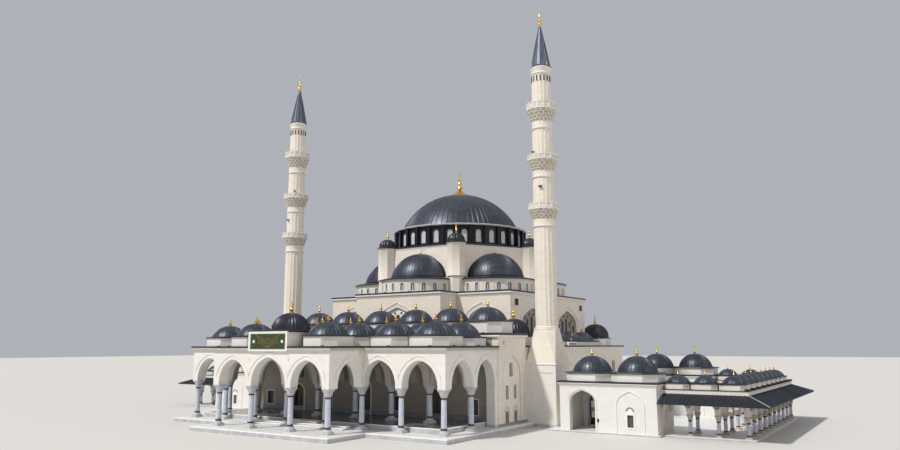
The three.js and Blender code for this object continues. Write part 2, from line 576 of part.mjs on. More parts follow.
const mb = minaretBaseHalf;
function flaredShoulder(foot, head) {
  const square = [[mb, mb], [-mb, mb], [-mb, -mb], [mb, -mb]];
  const reach = b(0.262) / Math.cos(Math.PI / 8);
  const eight = Array.from({ length: 8 }, (_, i) => {
    const t = Math.PI / 8 + i * Math.PI / 4;
    return [reach * Math.cos(t), reach * Math.sin(t)];
  });
  const points = [...square.map(([x, y]) => [x, y, foot]), ...eight.map(([x, y]) => [x, y, head])].flat();
  const faces = [0, 2, 1, 0, 3, 2];
  for (let k = 0; k < 4; k++) {
    const here = 4 + 2 * k;
    const next = 4 + (2 * k + 1) % 8;
    const last = 4 + (2 * k + 7) % 8;
    faces.push(k, next, here, k, here, last, (k + 3) % 4, k, last);
  }
  for (let k = 1; k < 7; k++) faces.push(4, 4 + k, 4 + k + 1);
  const shoulder = new THREE.BufferGeometry();
  shoulder.setAttribute('position', new THREE.BufferAttribute(new Float32Array(points), 3));
  shoulder.setIndex(faces);
  return solid(shoulder);
}
const baseBody = join(
  box(-mb, mb, -mb, mb, 0, b(1.37)), flaredShoulder(b(1.37) - 1, b(2.1)),
  turned([[0, b(2.09)], [b(0.28), b(2.09)], [b(0.28), b(2.13)], [0, b(2.13)]], 8, 0, 0, Math.PI / 8),
).translate([minaretX, minaretY, 0]);
both('minaret_base', baseBody, stone);

const balcony = (corbel, floor, top, low, high) => [
  [low, corbel], [b(0.34), floor], [b(0.365), top], [b(0.33), top], [b(0.33), floor + b(0.03)], [high,
    floor + b(0.03)],
];
both('minaret_shaft', turned([
  [0, b(2.13)], [minaretRadius, b(2.13)],
  ...balcony(b(4.6), b(4.83), b(4.98), minaretRadius, b(0.243)),
  ...balcony(b(5.74), b(6.0), b(6.13), b(0.243), b(0.235)),
  ...balcony(b(6.93), b(7.22), b(7.39), b(0.235), b(0.225)),
  [b(0.225), b(8.2)], [b(0.26), b(8.23)], [b(0.26), b(8.27)], [b(0.225), b(8.3)],
  [0, b(8.3)]], 12, minaretX, minaretY, Math.PI / 12), stone);

both('minaret_spire', turned([
  [0, b(8.3)], [b(0.215), b(8.3)], [b(0.2), b(8.45)], [b(0.11), b(8.95)], [b(0.025), b(9.37)], [b(0.05),
    b(9.44)],
  [b(0.015), b(9.52)], [b(0.035), b(9.6)], [b(0.01), b(9.68)], [0, minaretTipZ]], 12, minaretX, minaretY,
    Math.PI / 12), lead);

// Side courts: gatehouses, galleries and floors, drawn on the right and mirrored for the left-hand wing

const gateWall = b(0.12);
const gateMidY = (gateY[0] + gateY[1]) / 2;
function gatehouse(wing, head = gateTopZ - b(0.05)) {
  const ways = (list) => list.map((centre) => ({ centre, span: gatewaySpan, spring: gatewaySpringZ,
    rise: gatewayApexZ - gatewaySpringZ }));
  const end = wing.gateEnd;
  const window = [squareWindow(wing.window, b(0.14), b(0.147), b(0.387))];
  const front = wallAlongX(arcadeOutline(gateX, end, courtFloorZ, head, ways(wing.frontWays)), window,
    gateY[0], gateY[0] + gateWall);
  const back = wallAlongX(arcadeOutline(gateX, end, courtFloorZ, head, ways(wing.backWays)),
    wing.backWindows ? window : [], gateY[1] - gateWall, gateY[1]);
  const side = (x) => box(x, x + gateWall, gateY[0] + 1, gateY[1] - 1, courtFloorZ, head);
  return join(front, back, side(gateX), side(end - gateWall));
}
const gateRoof = (wing) => domedRoof(
  box(gateX - b(0.04), wing.gateEnd + b(0.04), gateY[0] - b(0.04), gateY[1] + b(0.04),
    gateTopZ - b(0.05), gateTopZ),
  wing.domes.map((x) => {
    const radius = b(0.4);
    return {
      body: join(prism(cutSquare(x, gateMidY, b(0.485), b(0.24)), gateTopZ - b(0.01), b(1.2)),
        cap(x, gateMidY, radius, b(1.2), b(0.3), 3, 10, b(1.58), b(0.014))),
      inside: hollow(x, gateMidY, radius * 0.88, b(1.1), b(0.3), 2, 6, b(0.7)),
    };
  }));

// two iron leaves hung on arms at the court side of the right-hand gateway
const leafY = gateY[1] + 12;
const hingeX = gatewayX - gatewaySpan / 2 + 5;
const hingeArmZ = [b(0.14), b(0.52)];
const hingeArm = (z) => box(hingeX - 15, hingeX + 5, gateY[1] - 1, leafY + 5, z, z + 6);
const leafEdgeX = gatewayX - 3;
const leafSpan = leafEdgeX - (hingeX - 4);
const leafFootZ = courtFloorZ + 8;
const leafCurve = archCurve(leafEdgeX, 2 * leafSpan, gatewaySpringZ - b(0.02),
  gatewayApexZ - gatewaySpringZ, 4).slice(0, 5);
const leafBars = 4;
const barPitch = (leafSpan - 8) / leafBars;
const leafSlots = Array.from({ length: leafBars }, (_, i) => hingeX + 4 + barPitch * i).flatMap((x, i) => [
  squareWindow(x + barPitch / 2 - 2, barPitch - 5, b(0.2), b(0.36)),
  squareWindow(x + barPitch / 2 - 2, barPitch - 5, b(0.375), b([0.56, 0.64, 0.7, 0.74][i])),
]);
const leafPlate = wallAlongX([[hingeX - 4, leafFootZ], ...leafCurve, [leafEdgeX, leafFootZ]], leafSlots,
  leafY - 3, leafY + 3);
const gateLeaf = cut(leafPlate, hingeArmZ.map((z) => box(hingeX - 5, hingeX + 8, leafY - 5, leafY + 5,
  z - 0.5, z + 6.5)));
const mirrorAt = (body, x) => body.mirror([1, 0, 0]).translate([2 * x, 0, 0]);
piece('gate_leaf_inner', gateLeaf, iron);
piece('gate_leaf_outer', mirrorAt(gateLeaf, gatewayX), iron);
const arms = hingeArmZ.flatMap((z) => [hingeArm(z), mirrorAt(hingeArm(z), gatewayX)]);

const galleryHalf = b(0.05);
const count = (n) => Array.from({ length: n }, (_, i) => i);
const turnedBack = (body) => body.mirror([0, 1, 0]).translate([0, 2 * courtMiddleY, 0]);
const galleryArch = (centre) => ({ centre, span: b(0.44), rise: b(0.3) });
const galleryColumn = (x, y) => turned([[0, courtFloorZ], [b(0.042), courtFloorZ], [b(0.042), b(0.33)],
  [b(0.065), gallerySpringZ + b(0.01)], [0, gallerySpringZ + b(0.01)]], 4, x, y, Math.PI / 4);

// one ring of a gallery: its corner column, the bays along its front and those along its side
function arcadeRing(wing, x, y, farY, bays, sideBays) {
  const h = galleryHalf;
  const front = join(wallAlongX(arcadeOutline(wing.gateEnd + gap, x + h, gallerySpringZ, galleryHeadZ,
    count(bays).map((i) => galleryArch(x - galleryBay * (i + 0.5))).reverse(), 2), [], y - h, y + h),
  count(bays - 1).map((i) => galleryColumn(x - galleryBay * (i + 1), y)));
  const side = wallAlongY(arcadeOutline(y - h + 1, farY + h - 1, gallerySpringZ, galleryHeadZ,
    count(sideBays).map((i) => galleryArch(y + galleryBay * (i + 0.5))), 2), [], x - h, x + h);
  return join(front, turnedBack(front), side,
    count(sideBays + 1).map((i) => galleryColumn(x, y + galleryBay * i)));
}

function galleryRoof(wing) {
  const [x, y] = [wing.galleryX, galleryY];
  const [innerX, innerY] = [x - galleryBay, y + galleryBay];
  const start = wing.gateEnd + b(0.04) + gap;
  const plan = (o) => [[start, y - o], [x + o, y - o], [x + o, courtMiddleY], [innerX - o, courtMiddleY],
    [innerX - o, innerY + o], [start, innerY + o]];
  const domes = [
    ...count(wing.bays - 1).map((i) => [innerX - galleryBay * (i + 0.5), y + galleryBay / 2]).reverse(),
    ...count(galleryBays).map((i) => [x - galleryBay / 2, y + galleryBay * (i + 0.5)])];
  const domeCap = ([u, v]) => cap(u, v, b(0.225), galleryEaveZ, b(0.14), 2, 8, b(1.21), b(0.01));
  const skirt = b(0.43);
  const [skirtX, skirtY] = [x + galleryHalf, y - galleryHalf];
  const profile = [[-skirt, b(0.63)], [-gap, b(0.785)], [-gap, galleryHeadZ + b(0.01)],
    [-b(0.03), galleryHeadZ + b(0.01)], [-b(0.03), b(0.815)], [-skirt, b(0.655)]];
  const corner = (points) => prism(points.map(([u, v]) => [skirtX + u, skirtY + v]), 0, b(1));
  const frontSkirt = cut(wallAlongY(profile.map(([v, z]) => [skirtY + v, z]), [], start, skirtX + skirt),
    corner([[0, 0], [skirt + 5, -skirt - 5], [skirt + 5, 5], [5, 5]]));
  const sideSkirt = cut(wallAlongX(profile.map(([v, z]) => [skirtX - v, z]), [], skirtY - skirt,
    courtMiddleY), corner([[0, 0], [-5, 5], [-5, -skirt - 5], [skirt + 5, -skirt - 5]]));
  const halfRoof = join(prism(plan(galleryHalf + b(0.02)), galleryHeadZ, galleryHeadZ + b(0.03)),
    prism(plan(0), galleryHeadZ, galleryEaveZ), frontSkirt, sideSkirt);
  return join(halfRoof, turnedBack(halfRoof), domes.map(domeCap),
    domes.slice(0, wing.bays - 1).map(([u, v]) => domeCap([u, 2 * courtMiddleY - v])));
}

function courtFloor(wing) {
  const baseX = minaretX + minaretBaseHalf + gap;
  const baseY = minaretY + minaretBaseHalf + gap;
  const [end, outer, edge] = [wing.gateEnd + b(0.05), wing.galleryX + b(0.15), gateY[0] - b(0.05)];
  return prism([[baseX, edge], [end, edge], [end, galleryY - b(0.15)], [outer, galleryY - b(0.15)],
    [outer, galleryFarY + b(0.15)], [end, galleryFarY + b(0.15)], [end, 2 * courtMiddleY - edge],
    [bodyX + gap, 2 * courtMiddleY - edge], [bodyX + gap, baseY], [baseX, baseY]], 0, courtFloorZ);
}

const unturned = (body) => body;
for (const [side, wing, place] of [['right', rightWing, unturned], ['left', leftWing, mirrored]]) {
  const walls = gatehouse(wing);
  const [x, y, farY] = [wing.galleryX, galleryY, galleryFarY];
  piece(`gatehouse_${side}`, side === 'right' ? join(walls, arms) : place(walls), paleStone);
  piece(`gatehouse_roof_${side}`, place(gateRoof(wing)), lead);
  piece(`rear_gatehouse_${side}`, place(turnedBack(join(gatehouse(wing, gateTopZ - b(0.05) + 1),
    gateRoof(wing)))), paleStone);
  piece(`gallery_outer_arcade_${side}`, place(arcadeRing(wing, x, y, farY, wing.bays, galleryBays)),
    paleStone);
  piece(`gallery_inner_arcade_${side}`, place(arcadeRing(wing, x - galleryBay, y + galleryBay,
    farY - galleryBay, wing.bays - 1, galleryBays - 2)), paleStone);
  piece(`gallery_roof_${side}`, place(galleryRoof(wing)), lead);
  piece(`court_floor_${side}`, place(courtFloor(wing)), floorStone);
}

export default group;
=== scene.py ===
import random
from math import asin, atan2, cos, hypot, pi, radians, sin
import bpy
import numpy as np
from mathutils import Matrix, Vector
from mathutils.geometry import tessellate_polygon


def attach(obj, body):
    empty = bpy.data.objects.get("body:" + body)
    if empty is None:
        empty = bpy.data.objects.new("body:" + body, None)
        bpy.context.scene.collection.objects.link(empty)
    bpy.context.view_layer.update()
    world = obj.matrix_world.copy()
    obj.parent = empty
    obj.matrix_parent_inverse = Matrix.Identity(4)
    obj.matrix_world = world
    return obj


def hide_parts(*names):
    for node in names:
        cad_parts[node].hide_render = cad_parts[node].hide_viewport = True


# Domed mosque with two minarets and arcaded side courts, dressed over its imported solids.
# Lengths are in portico bays, and make() turns them into metres.

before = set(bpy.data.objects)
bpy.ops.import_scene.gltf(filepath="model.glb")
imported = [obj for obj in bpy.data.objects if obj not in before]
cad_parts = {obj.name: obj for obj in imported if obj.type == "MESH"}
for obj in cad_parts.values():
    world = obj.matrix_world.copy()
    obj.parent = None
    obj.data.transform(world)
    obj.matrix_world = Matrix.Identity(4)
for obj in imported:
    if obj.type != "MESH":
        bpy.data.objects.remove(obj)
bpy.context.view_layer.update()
bay = 0.65
chance = random.Random(7)

# camera, light and floor

view = {"place": (7.328, -7.499, 1.138), "turn": (99.4495, 0.0, 33.3213), "roll": -0.126, "lens": 28.96,
        "sunWay": (0.25, 0.56, -0.76), "sun": 3.05, "sunColour": (1.0, 0.955, 0.89), "sunSize": 4.0,
        "fillWay": (-0.93, 0.05, -0.36), "fill": 0.42, "fillColour": (1.0, 0.84, 0.66), "fillSize": 40.0,
        "sky": (0.76, 0.79, 0.86), "skyPower": 0.56, "floor": (0.62, 0.61, 0.59), "floorReach": 70,
        "floorZ": -0.001}


def setStage():
    camera = bpy.data.objects.new("photoCamera", bpy.data.cameras.new("photoCamera"))
    camera.data.sensor_width = 36
    camera.data.lens = view["lens"]
    camera.data.clip_end = 400
    camera.location = view["place"]
    tilt, turn = [Matrix.Rotation(radians(view["turn"][i]), 4, "XYZ"[i]) for i in (0, 2)]
    camera.rotation_euler = (turn @ tilt @ Matrix.Rotation(radians(view["roll"]), 4, "Z")).to_euler()
    lamps = []
    for kind in ("sun", "fill"):
        lamp = bpy.data.objects.new(kind + "Lamp", bpy.data.lights.new(kind + "Lamp", "SUN"))
        lamp.data.energy = view[kind]
        lamp.data.color = view[kind + "Colour"]
        lamp.data.angle = radians(view[kind + "Size"])
        lamp.rotation_euler = Vector(view[kind + "Way"]).to_track_quat("-Z", "Y").to_euler()
        lamps.append(lamp)
    mesh = bpy.data.meshes.new("studioFloor")
    reach, low = view["floorReach"], view["floorZ"]
    mesh.from_pydata([(x * reach, y * reach, low) for x, y in ((-1, -1), (1, -1), (1, 1), (-1, 1))], [],
                     [(0, 1, 2, 3)])
    ground = bpy.data.objects.new("studioFloor", mesh)
    for thing in (camera, *lamps, ground):
        bpy.context.scene.collection.objects.link(thing)
    bpy.context.scene.camera = camera
    world = bpy.data.worlds.new("softSky")
    world.use_nodes = True
    world.node_tree.nodes["Background"].inputs[0].default_value = (*view["sky"], 1)
    world.node_tree.nodes["Background"].inputs[1].default_value = view["skyPower"]
    bpy.context.scene.world = world
    bpy.context.scene.view_settings.view_transform = "Standard"
    return ground


studioFloor = setStage()
print("camera, light and floor are set")


# shaders

class Wire:  # one socket, so that shader sums read as sums
    def __init__(self, paint, socket):
        self.paint, self.socket = paint, socket

    def sum(self, how, *parts):
        return self.paint.node("Math", {"operation": how}, dict(enumerate(parts)))

    def __add__(self, other): return self.sum("ADD", self, other)
    def __radd__(self, other): return self.sum("ADD", other, self)
    def __sub__(self, other): return self.sum("SUBTRACT", self, other)
    def __rsub__(self, other): return self.sum("SUBTRACT", other, self)
    def __mul__(self, other): return self.sum("MULTIPLY", self, other)
    def __rmul__(self, other): return self.sum("MULTIPLY", other, self)
    def __truediv__(self, other): return self.sum("DIVIDE", self, other)
    def __rtruediv__(self, other): return self.sum("DIVIDE", other, self)

    def clamped(self, low=0.0, high=1.0):
        return self.sum("MINIMUM", self.sum("MAXIMUM", self, low), high)

    def ramp(self, start, end):  # 0 at start, 1 at end
        return self.paint.node("MapRange", {"interpolation_type": "SMOOTHSTEP"}, {0: self, 1: start, 2: end})


class Paint:  # a material in the making
    def __init__(self, name):
        self.material = bpy.data.materials.new(name)
        self.material.use_nodes = True
        self.tree = self.material.node_tree
        self.shader = self.tree.nodes["Principled BSDF"]

    def node(self, kind, settings=None, inputs=None, out=0):
        made = self.tree.nodes.new("ShaderNode" + kind)
        for key, value in (settings or {}).items():
            if key == "stops":
                while len(made.color_ramp.elements) < len(value):
                    made.color_ramp.elements.new(0.5)
                for element, (at, colour) in zip(made.color_ramp.elements, value):
                    element.position, element.color = at, (*colour, 1)
            else:
                setattr(made, key, value)
        for key, value in (inputs or {}).items():
            if isinstance(value, Wire):
                self.tree.links.new(value.socket, made.inputs[key])
            else:
                made.inputs[key].default_value = value
        return Wire(self, made.outputs[out])

    def place(self):
        return self.node("TexCoord", out="Object")

    def axes(self):
        place = self.place()
        return [self.node("SeparateXYZ", inputs={0: place}, out=i) for i in range(3)]

    def vector(self, x, y, z=0.0):
        return self.node("CombineXYZ", inputs={0: x, 1: y, 2: z})

    def noise(self, scale, detail=3.0, rough=0.55, vector=None, spread=0.0):
        return self.node("TexNoise", inputs={"Vector": vector or self.place(), "Scale": scale,
                                             "Detail": detail, "Roughness": rough, "Distortion": spread})

    def mix(self, factor, first, second):
        first, second = [(*c, 1) if isinstance(c, tuple) else c for c in (first, second)]
        return self.node("Mix", {"data_type": "RGBA"}, {0: factor, 6: first, 7: second}, out=2)

    # the tone of each block, and a mask of the joints
    def bricks(self, vector, size, dark, gap, smooth, offset):
        tones = {"Color1": (*[dark] * 3, 1), "Color2": (*[1 - dark] * 3, 1), "Mortar": (0.5, 0.5, 0.5, 1)}
        brick = self.node("TexBrick", {"offset": offset}, {
            "Vector": vector, **tones, "Scale": 1.0, "Mortar Size": gap, "Mortar Smooth": smooth,
            "Brick Width": size[0], "Row Height": size[1]})
        return self.node("RGBToBW", inputs={0: brick}), Wire(self, brick.socket.node.outputs["Fac"])

    def spots(self, places):  # a soft mask round each (x, y, z, width, height)
        x, y, z = self.axes()
        total = 0.0
        for px, py, pz, wide, high in places:
            flat = ((x - px) * (x - px) + (y - py) * (y - py)) / (wide * wide)
            upright = (z - pz) * (z - pz) / (high * high)
            total = (flat + upright).ramp(1.0, 0.0) + total
        return total.clamped()

    def set(self, **values):
        for key, value in values.items():
            socket = self.shader.inputs[key.replace("_", " ")]
            if isinstance(value, Wire):
                self.tree.links.new(value.socket, socket)
            else:
                socket.default_value = (*value, 1) if isinstance(value, tuple) and len(value) == 3 else value
        return self.material

    def bump(self, height, strength=0.3, distance=0.002):
        return self.node("Bump", inputs={"Height": height, "Strength": strength, "Distance": distance})


def dim(colour, share):
    return tuple(c * share for c in colour)


stoneLook = {"courseHigh": 0.047, "stoneLong": 0.105, "joint": 0.0012, "jointDepth": 0.35,
             "wornTint": (0.93, 0.88, 0.80), "rustTint": (0.55, 0.30, 0.10),
             "rust": [(1.10, -0.13, 1.07, 0.05, 0.11), (1.085, -0.1, 0.93, 0.03, 0.1),
                      (1.12, -0.13, 0.87, 0.05, 0.06), (0.06, 2.72, 2.80, 0.07, 0.05),
                      (0.0, 2.72, 2.74, 0.05, 0.06),
                      (2.37, 1.95, 0.75, 0.03, 0.25), (2.37, 1.95, 0.35, 0.03, 0.22)]}


def ashlar(name, sun, shade, joints=1.0, tint=0.5):
    look, p = stoneLook, Paint(name)
    x, y, z = p.axes()
    along = x + y
    block, joint = p.bricks(p.vector(along, z), (look["stoneLong"], look["courseHigh"]), 0.2, look["joint"],
                            0.4, 0.5)
    cloud = p.noise(2.2, 5)
    fleck = p.noise(60, 3, 0.7)
    runs = p.noise(1.0, 4, 0.6, p.vector(along * 26, z * 1.6))
    base = p.mix((block * 0.35 + cloud * 0.45 + fleck * 0.2).ramp(0.25, 0.75), sun, shade)
    streak = (runs.ramp(0.55, 0.8) * cloud.ramp(0.35, 0.7) * tint).clamped()
    worn = p.mix(streak, base, tuple(c * k for c, k in zip(shade, look["wornTint"])))
    jointed = p.mix(joint * 0.32 * joints, worn, dim(shade, 0.62))
    rust = p.spots(look["rust"]) * p.noise(16, 4, 0.7, p.vector(along * 2.2, z * 0.5)).ramp(0.4, 0.62)
    stained = p.mix(rust * 0.62, jointed, look["rustTint"])
    height = fleck * 0.15 + (1 - joint) * (joints * look["jointDepth"])
    return p.set(Base_Color=stained, Roughness=0.62 + cloud * 0.18 + joint * 0.1,
                 Normal=p.bump(height, 0.35, 0.0015))


def plainStone(name, light, dark, rough=0.5, scale=9.0, vein=None):
    p = Paint(name)
    cloud = p.noise(scale, 5, 0.6)
    fleck = p.noise(scale * 9, 3, 0.7)
    base = p.mix((cloud * 0.7 + fleck * 0.3).ramp(0.3, 0.7), light, dark)
    if vein:
        line = p.noise(scale * 0.7, 6, 0.62, spread=1.6)
        crack = 1 - ((line - 0.5) * (line - 0.5) * 900).clamped()
        base = p.mix(crack * 0.55, base, vein)
    return p.set(Base_Color=base, Roughness=rough + cloud * 0.15, Normal=p.bump(fleck, 0.12, 0.001))


leadLook = {"dark": (0.034, 0.041, 0.058), "light": (0.074, 0.086, 0.116), "chalk": (0.20, 0.215, 0.24),
            "lap": (0.02, 0.022, 0.028)}


def sheetLead(name, tone=1.0, laps=0.0, shine=0.29):  # laps is the height of one sheet
    p = Paint(name)
    dark, light, pale, lap = [dim(leadLook[part], tone) for part in ("dark", "light", "chalk", "lap")]
    x, y, z = p.axes()
    patch = p.node("Attribute", {"attribute_name": "tone"}, out="Fac")
    cloud = p.noise(3.2, 5, 0.62)
    runs = p.noise(1.0, 4, 0.65, p.vector(x * 34, y * 34, z * 3))
    base = p.mix((patch * 0.2 + cloud * 0.4 + runs * 0.4).ramp(0.25, 0.8), dark, light)
    chalk = p.mix(runs.ramp(0.6, 0.82) * 0.3, base, pale)
    height = runs * 0.4 + patch * 0.12
    if laps:
        line = (p.node("Math", {"operation": "PINGPONG"}, {0: z, 1: laps / 2}) / (laps / 2)).ramp(0.1, 0.02)
        chalk = p.mix(line * 0.45, chalk, lap)
        height = height - line * 0.8
    return p.set(Base_Color=chalk, Metallic=0.5, Roughness=shine + runs * 0.16 + patch * 0.04,
                 Normal=p.bump(height, 0.22, 0.002))


def metal(name, colour, rough, worn=None):
    p = Paint(name)
    cloud = p.noise(40, 4, 0.6)
    base = p.mix(cloud.ramp(0.35, 0.75), colour, worn or dim(colour, 0.72))
    return p.set(Base_Color=base, Metallic=1.0, Roughness=rough + cloud * 0.12,
                 Normal=p.bump(cloud, 0.08, 0.0008))


def lattice(name, glass, bars, pitch, share=0.22, rough=0.25, slant=True):
    p = Paint(name)
    x, y, z = p.axes()
    along = x + y
    near = 0.0
    for way in (along + z, along - z) if slant else (along, z):
        cell = p.node("Math", {"operation": "PINGPONG"}, {0: way, 1: pitch})
        near = (cell / pitch).ramp(share, share * 0.4) + near
    bar = near.clamped()
    pane = p.mix(p.noise(24, 4).ramp(0.3, 0.7), glass, dim(glass, 0.7))
    return p.set(Base_Color=p.mix(bar, pane, bars), Roughness=rough + bar * 0.35,
                 Normal=p.bump(bar, 0.5, 0.002))


def paving(name, light, dark, slab, joint=(0.42, 0.42, 0.42), rough=0.3):
    p = Paint(name)
    x, y = p.axes()[:2]
    block, seam = p.bricks(p.vector(x, y), (slab, slab), 0.15, 0.0012, 0.3, 0.0)
    cloud = p.noise(4, 6, 0.65, spread=0.8)
    base = p.mix((block * 0.4 + cloud * 0.6).ramp(0.3, 0.72), light, dark)
    return p.set(Base_Color=p.mix(seam * 0.6, base, joint), Roughness=rough + cloud * 0.2 + seam * 0.2,
                 Normal=p.bump(1 - seam, 0.2, 0.001))


def floorPaint():
    p = Paint("studioGround")
    cloud = p.noise(0.6, 3)
    return p.set(Base_Color=p.mix(cloud * 0.25, view["floor"], dim(view["floor"], 0.94)), Roughness=0.8)


studioFloor.data.materials.append(floorPaint())
looks = {
    "hallStone": ashlar("hallStone", (0.84, 0.785, 0.70), (0.75, 0.685, 0.60)),
    "paleStone": ashlar("paleStone", (0.81, 0.797, 0.77), (0.745, 0.72, 0.675), joints=0.55, tint=0.4),
    # the portico stone darkened as painted shade, for the inner arcades and the undersides of the portico
    # vaults
    "innerStone": ashlar("innerStone", (0.50, 0.465, 0.41), (0.42, 0.385, 0.335), joints=0.5, tint=0.5),
    # the stone darkened further as painted deep shade, for the narthex front wall inside the portico and the
    # tracery on the shaded hall sides
    "deepStone": ashlar("deepStone", (0.36, 0.325, 0.28), (0.30, 0.27, 0.23), joints=0.5, tint=0.5),
    "warmWhite": plainStone("warmWhite", (0.90, 0.88, 0.83), (0.84, 0.81, 0.75), 0.5, 7),
    "trimStone": plainStone("trimStone", (0.83, 0.81, 0.77), (0.75, 0.72, 0.665), 0.55),
    "chalkStone": plainStone("chalkStone", (0.90, 0.89, 0.86), (0.80, 0.79, 0.76), 0.5),
    "shaftMarble": plainStone("shaftMarble", (0.56, 0.61, 0.71), (0.43, 0.48, 0.58), 0.28, 11,
                              (0.70, 0.74, 0.82)),
    "carvedGrey": plainStone("carvedGrey", (0.56, 0.58, 0.61), (0.42, 0.44, 0.47), 0.5, 14),
    "carvedTan": plainStone("carvedTan", (0.55, 0.49, 0.43), (0.42, 0.37, 0.33), 0.55, 14),
    "plinthGrey": plainStone("plinthGrey", (0.55, 0.58, 0.61), (0.42, 0.45, 0.48), 0.4, 8,
                             (0.66, 0.68, 0.70)),
    "gateStone": ashlar("gateStone", (0.79, 0.79, 0.775), (0.73, 0.715, 0.68), joints=0.7, tint=0.3),
    "galleryStone": ashlar("galleryStone", (0.76, 0.735, 0.70), (0.68, 0.64, 0.59), joints=0.6, tint=0.4),
    "skirtGrey": plainStone("skirtGrey", (0.27, 0.29, 0.32), (0.19, 0.21, 0.24), 0.35, 8, (0.36, 0.38, 0.40)),
    "blackGlass": lattice("blackGlass", (0.018, 0.022, 0.03), (0.05, 0.055, 0.06), 0.012, 0.16, slant=False),
    "strutGrey": metal("strutGrey", (0.42, 0.43, 0.45), 0.5),
    "latticePane": lattice("latticePane", (0.03, 0.033, 0.042), (0.20, 0.20, 0.20), 0.012, 0.24, 0.3),
    "lead": sheetLead("leadSheet", laps=0.042),
    "leadFlat": sheetLead("leadFlat", 0.75),
    "slate": sheetLead("slateSkirt", 0.5, shine=0.5),
    "slateSeam": sheetLead("slateSeam", 0.85, shine=0.5),
    "drumLead": sheetLead("drumLead", 0.22, 0.05),
    "spireLead": sheetLead("spireLead", 2.2),
    "zincGrey": plainStone("zincGrey", (0.50, 0.50, 0.49), (0.36, 0.36, 0.37), 0.45, 12),
    "carvedCream": plainStone("carvedCream", (0.80, 0.74, 0.64), (0.66, 0.60, 0.51), 0.6, 20),
    "ribbedLead": sheetLead("ribbedLead", 0.55, shine=0.3),
    "signGreen": plainStone("signGreen", (0.022, 0.050, 0.024), (0.040, 0.036, 0.024), 0.3, 30),
    "signLeaf": plainStone("signLeaf", (0.16, 0.26, 0.05), (0.04, 0.22, 0.10), 0.35, 40),
    "signGold": metal("signGold", (0.50, 0.38, 0.14), 0.36, (0.42, 0.25, 0.09)),
    "gold": metal("goldLeaf", (0.93, 0.60, 0.16), 0.2, (0.80, 0.47, 0.10)),
    "bronze": metal("bronzeRing", (0.13, 0.085, 0.05), 0.42),
    "ironwork": metal("ironwork", (0.045, 0.047, 0.052), 0.45),
    "darkGlass": lattice("darkGlass", (0.045, 0.055, 0.07), (0.10, 0.11, 0.12), 0.012, slant=False),
    "blueGlass": lattice("blueGlass", (0.20, 0.25, 0.31), (0.42, 0.46, 0.50), 0.011),
    "paleGlass": lattice("paleGlass", (0.55, 0.60, 0.60), (0.72, 0.75, 0.73), 0.010, 0.3),
    "courtPaving": paving("courtPaving", (0.80, 0.80, 0.80), (0.69, 0.70, 0.71), 0.06),
    "greyPaving": paving("greyPaving", (0.50, 0.53, 0.56), (0.40, 0.42, 0.45), 0.05),
    # polished paving whose dark colour is painted shade, for the floor under the portico roof and inside the
    # hall
    "hallPaving": paving("hallPaving", (0.16, 0.165, 0.17), (0.10, 0.105, 0.11), 0.1, (0.05, 0.05, 0.05),
                         0.08),
}
print("finishes are mixed:", len(looks))


# shapes: every part is (points, faces) in bays, and a Shape gathers the parts of one piece

def spokes(count, phase=0.0):
    return [(phase + 2 * pi * i / count, 0.0) for i in range(count)]


def seams(count, width, phase=0.0):  # three spokes to a seam, the middle one raised
    return [(phase + 2 * pi * i / count + k * width, 1.0 - abs(k)) for i in range(count) for k in (-1, 0, 1)]


def lobes(count, steps=6):  # soft ribs side by side
    return [(2 * pi * i / (count * steps), 0.5 - 0.5 * cos(2 * pi * i / steps)) for i in range(count * steps)]


# turns (out, up) pairs round the z axis, on rays of (angle, lift)
def lathe(curve, rays, lift=0.0, fan=False):
    points, faces, rings = [], [], []
    widest = max(r for r, z in curve)
    for r, z in curve:
        if r < 1e-6:
            rings.append([len(points)])
            points.append((0.0, 0.0, z))
            continue
        rings.append(list(range(len(points), len(points) + len(rays))))
        rise = lift * min(1.0, 2.2 * r / widest)
        points += [((r + up * rise) * sin(a), -(r + up * rise) * cos(a), z) for a, up in rays]
    for low, high in zip(rings, rings[1:]):
        for i in range(len(rays) - (1 if fan else 0)):
            j = (i + 1) % len(rays)
            if len(low) == 1 and len(high) == 1:
                continue
            if len(low) == 1:
                faces.append((low[0], high[j], high[i]))
            elif len(high) == 1:
                faces.append((low[i], low[j], high[0]))
            else:
                faces.append((low[i], low[j], high[j], high[i]))
    return points, faces


def profile(pairs, r=0.0, z=0.0, wide=1.0, tall=1.0):  # (out, up) pairs, scaled and moved
    return [(r + wide * a, z + tall * b) for a, b in pairs]


def inward(part):  # the same surface, seen from the other side
    return part[0], [f[::-1] for f in part[1]]


def loft(loops, closed=True, capped=(False, False)):  # skins a stack of loops with the same number of points
    count = len(loops[0])
    points = [p for loop in loops for p in loop]
    faces = []
    for k in range(len(loops) - 1):
        for i in range(count if closed else count - 1):
            j = (i + 1) % count
            faces.append((k * count + i, k * count + j, (k + 1) * count + j, (k + 1) * count + i))
    if capped[0]:
        faces.append(tuple(reversed(range(count))))
    if capped[1]:
        faces.append(tuple(range((len(loops) - 1) * count, len(loops) * count)))
    return points, faces


def frameOf(u0, u1, v0, v1):
    return [(u0, v0), (u1, v0), (u1, v1), (u0, v1)]


def around(centre, half, v0, v1):
    return frameOf(centre - half, centre + half, v0, v1)


def area(loop):
    return sum(a[0] * b[1] - b[0] * a[1] for a, b in zip(loop, loop[1:] + loop[:1])) / 2


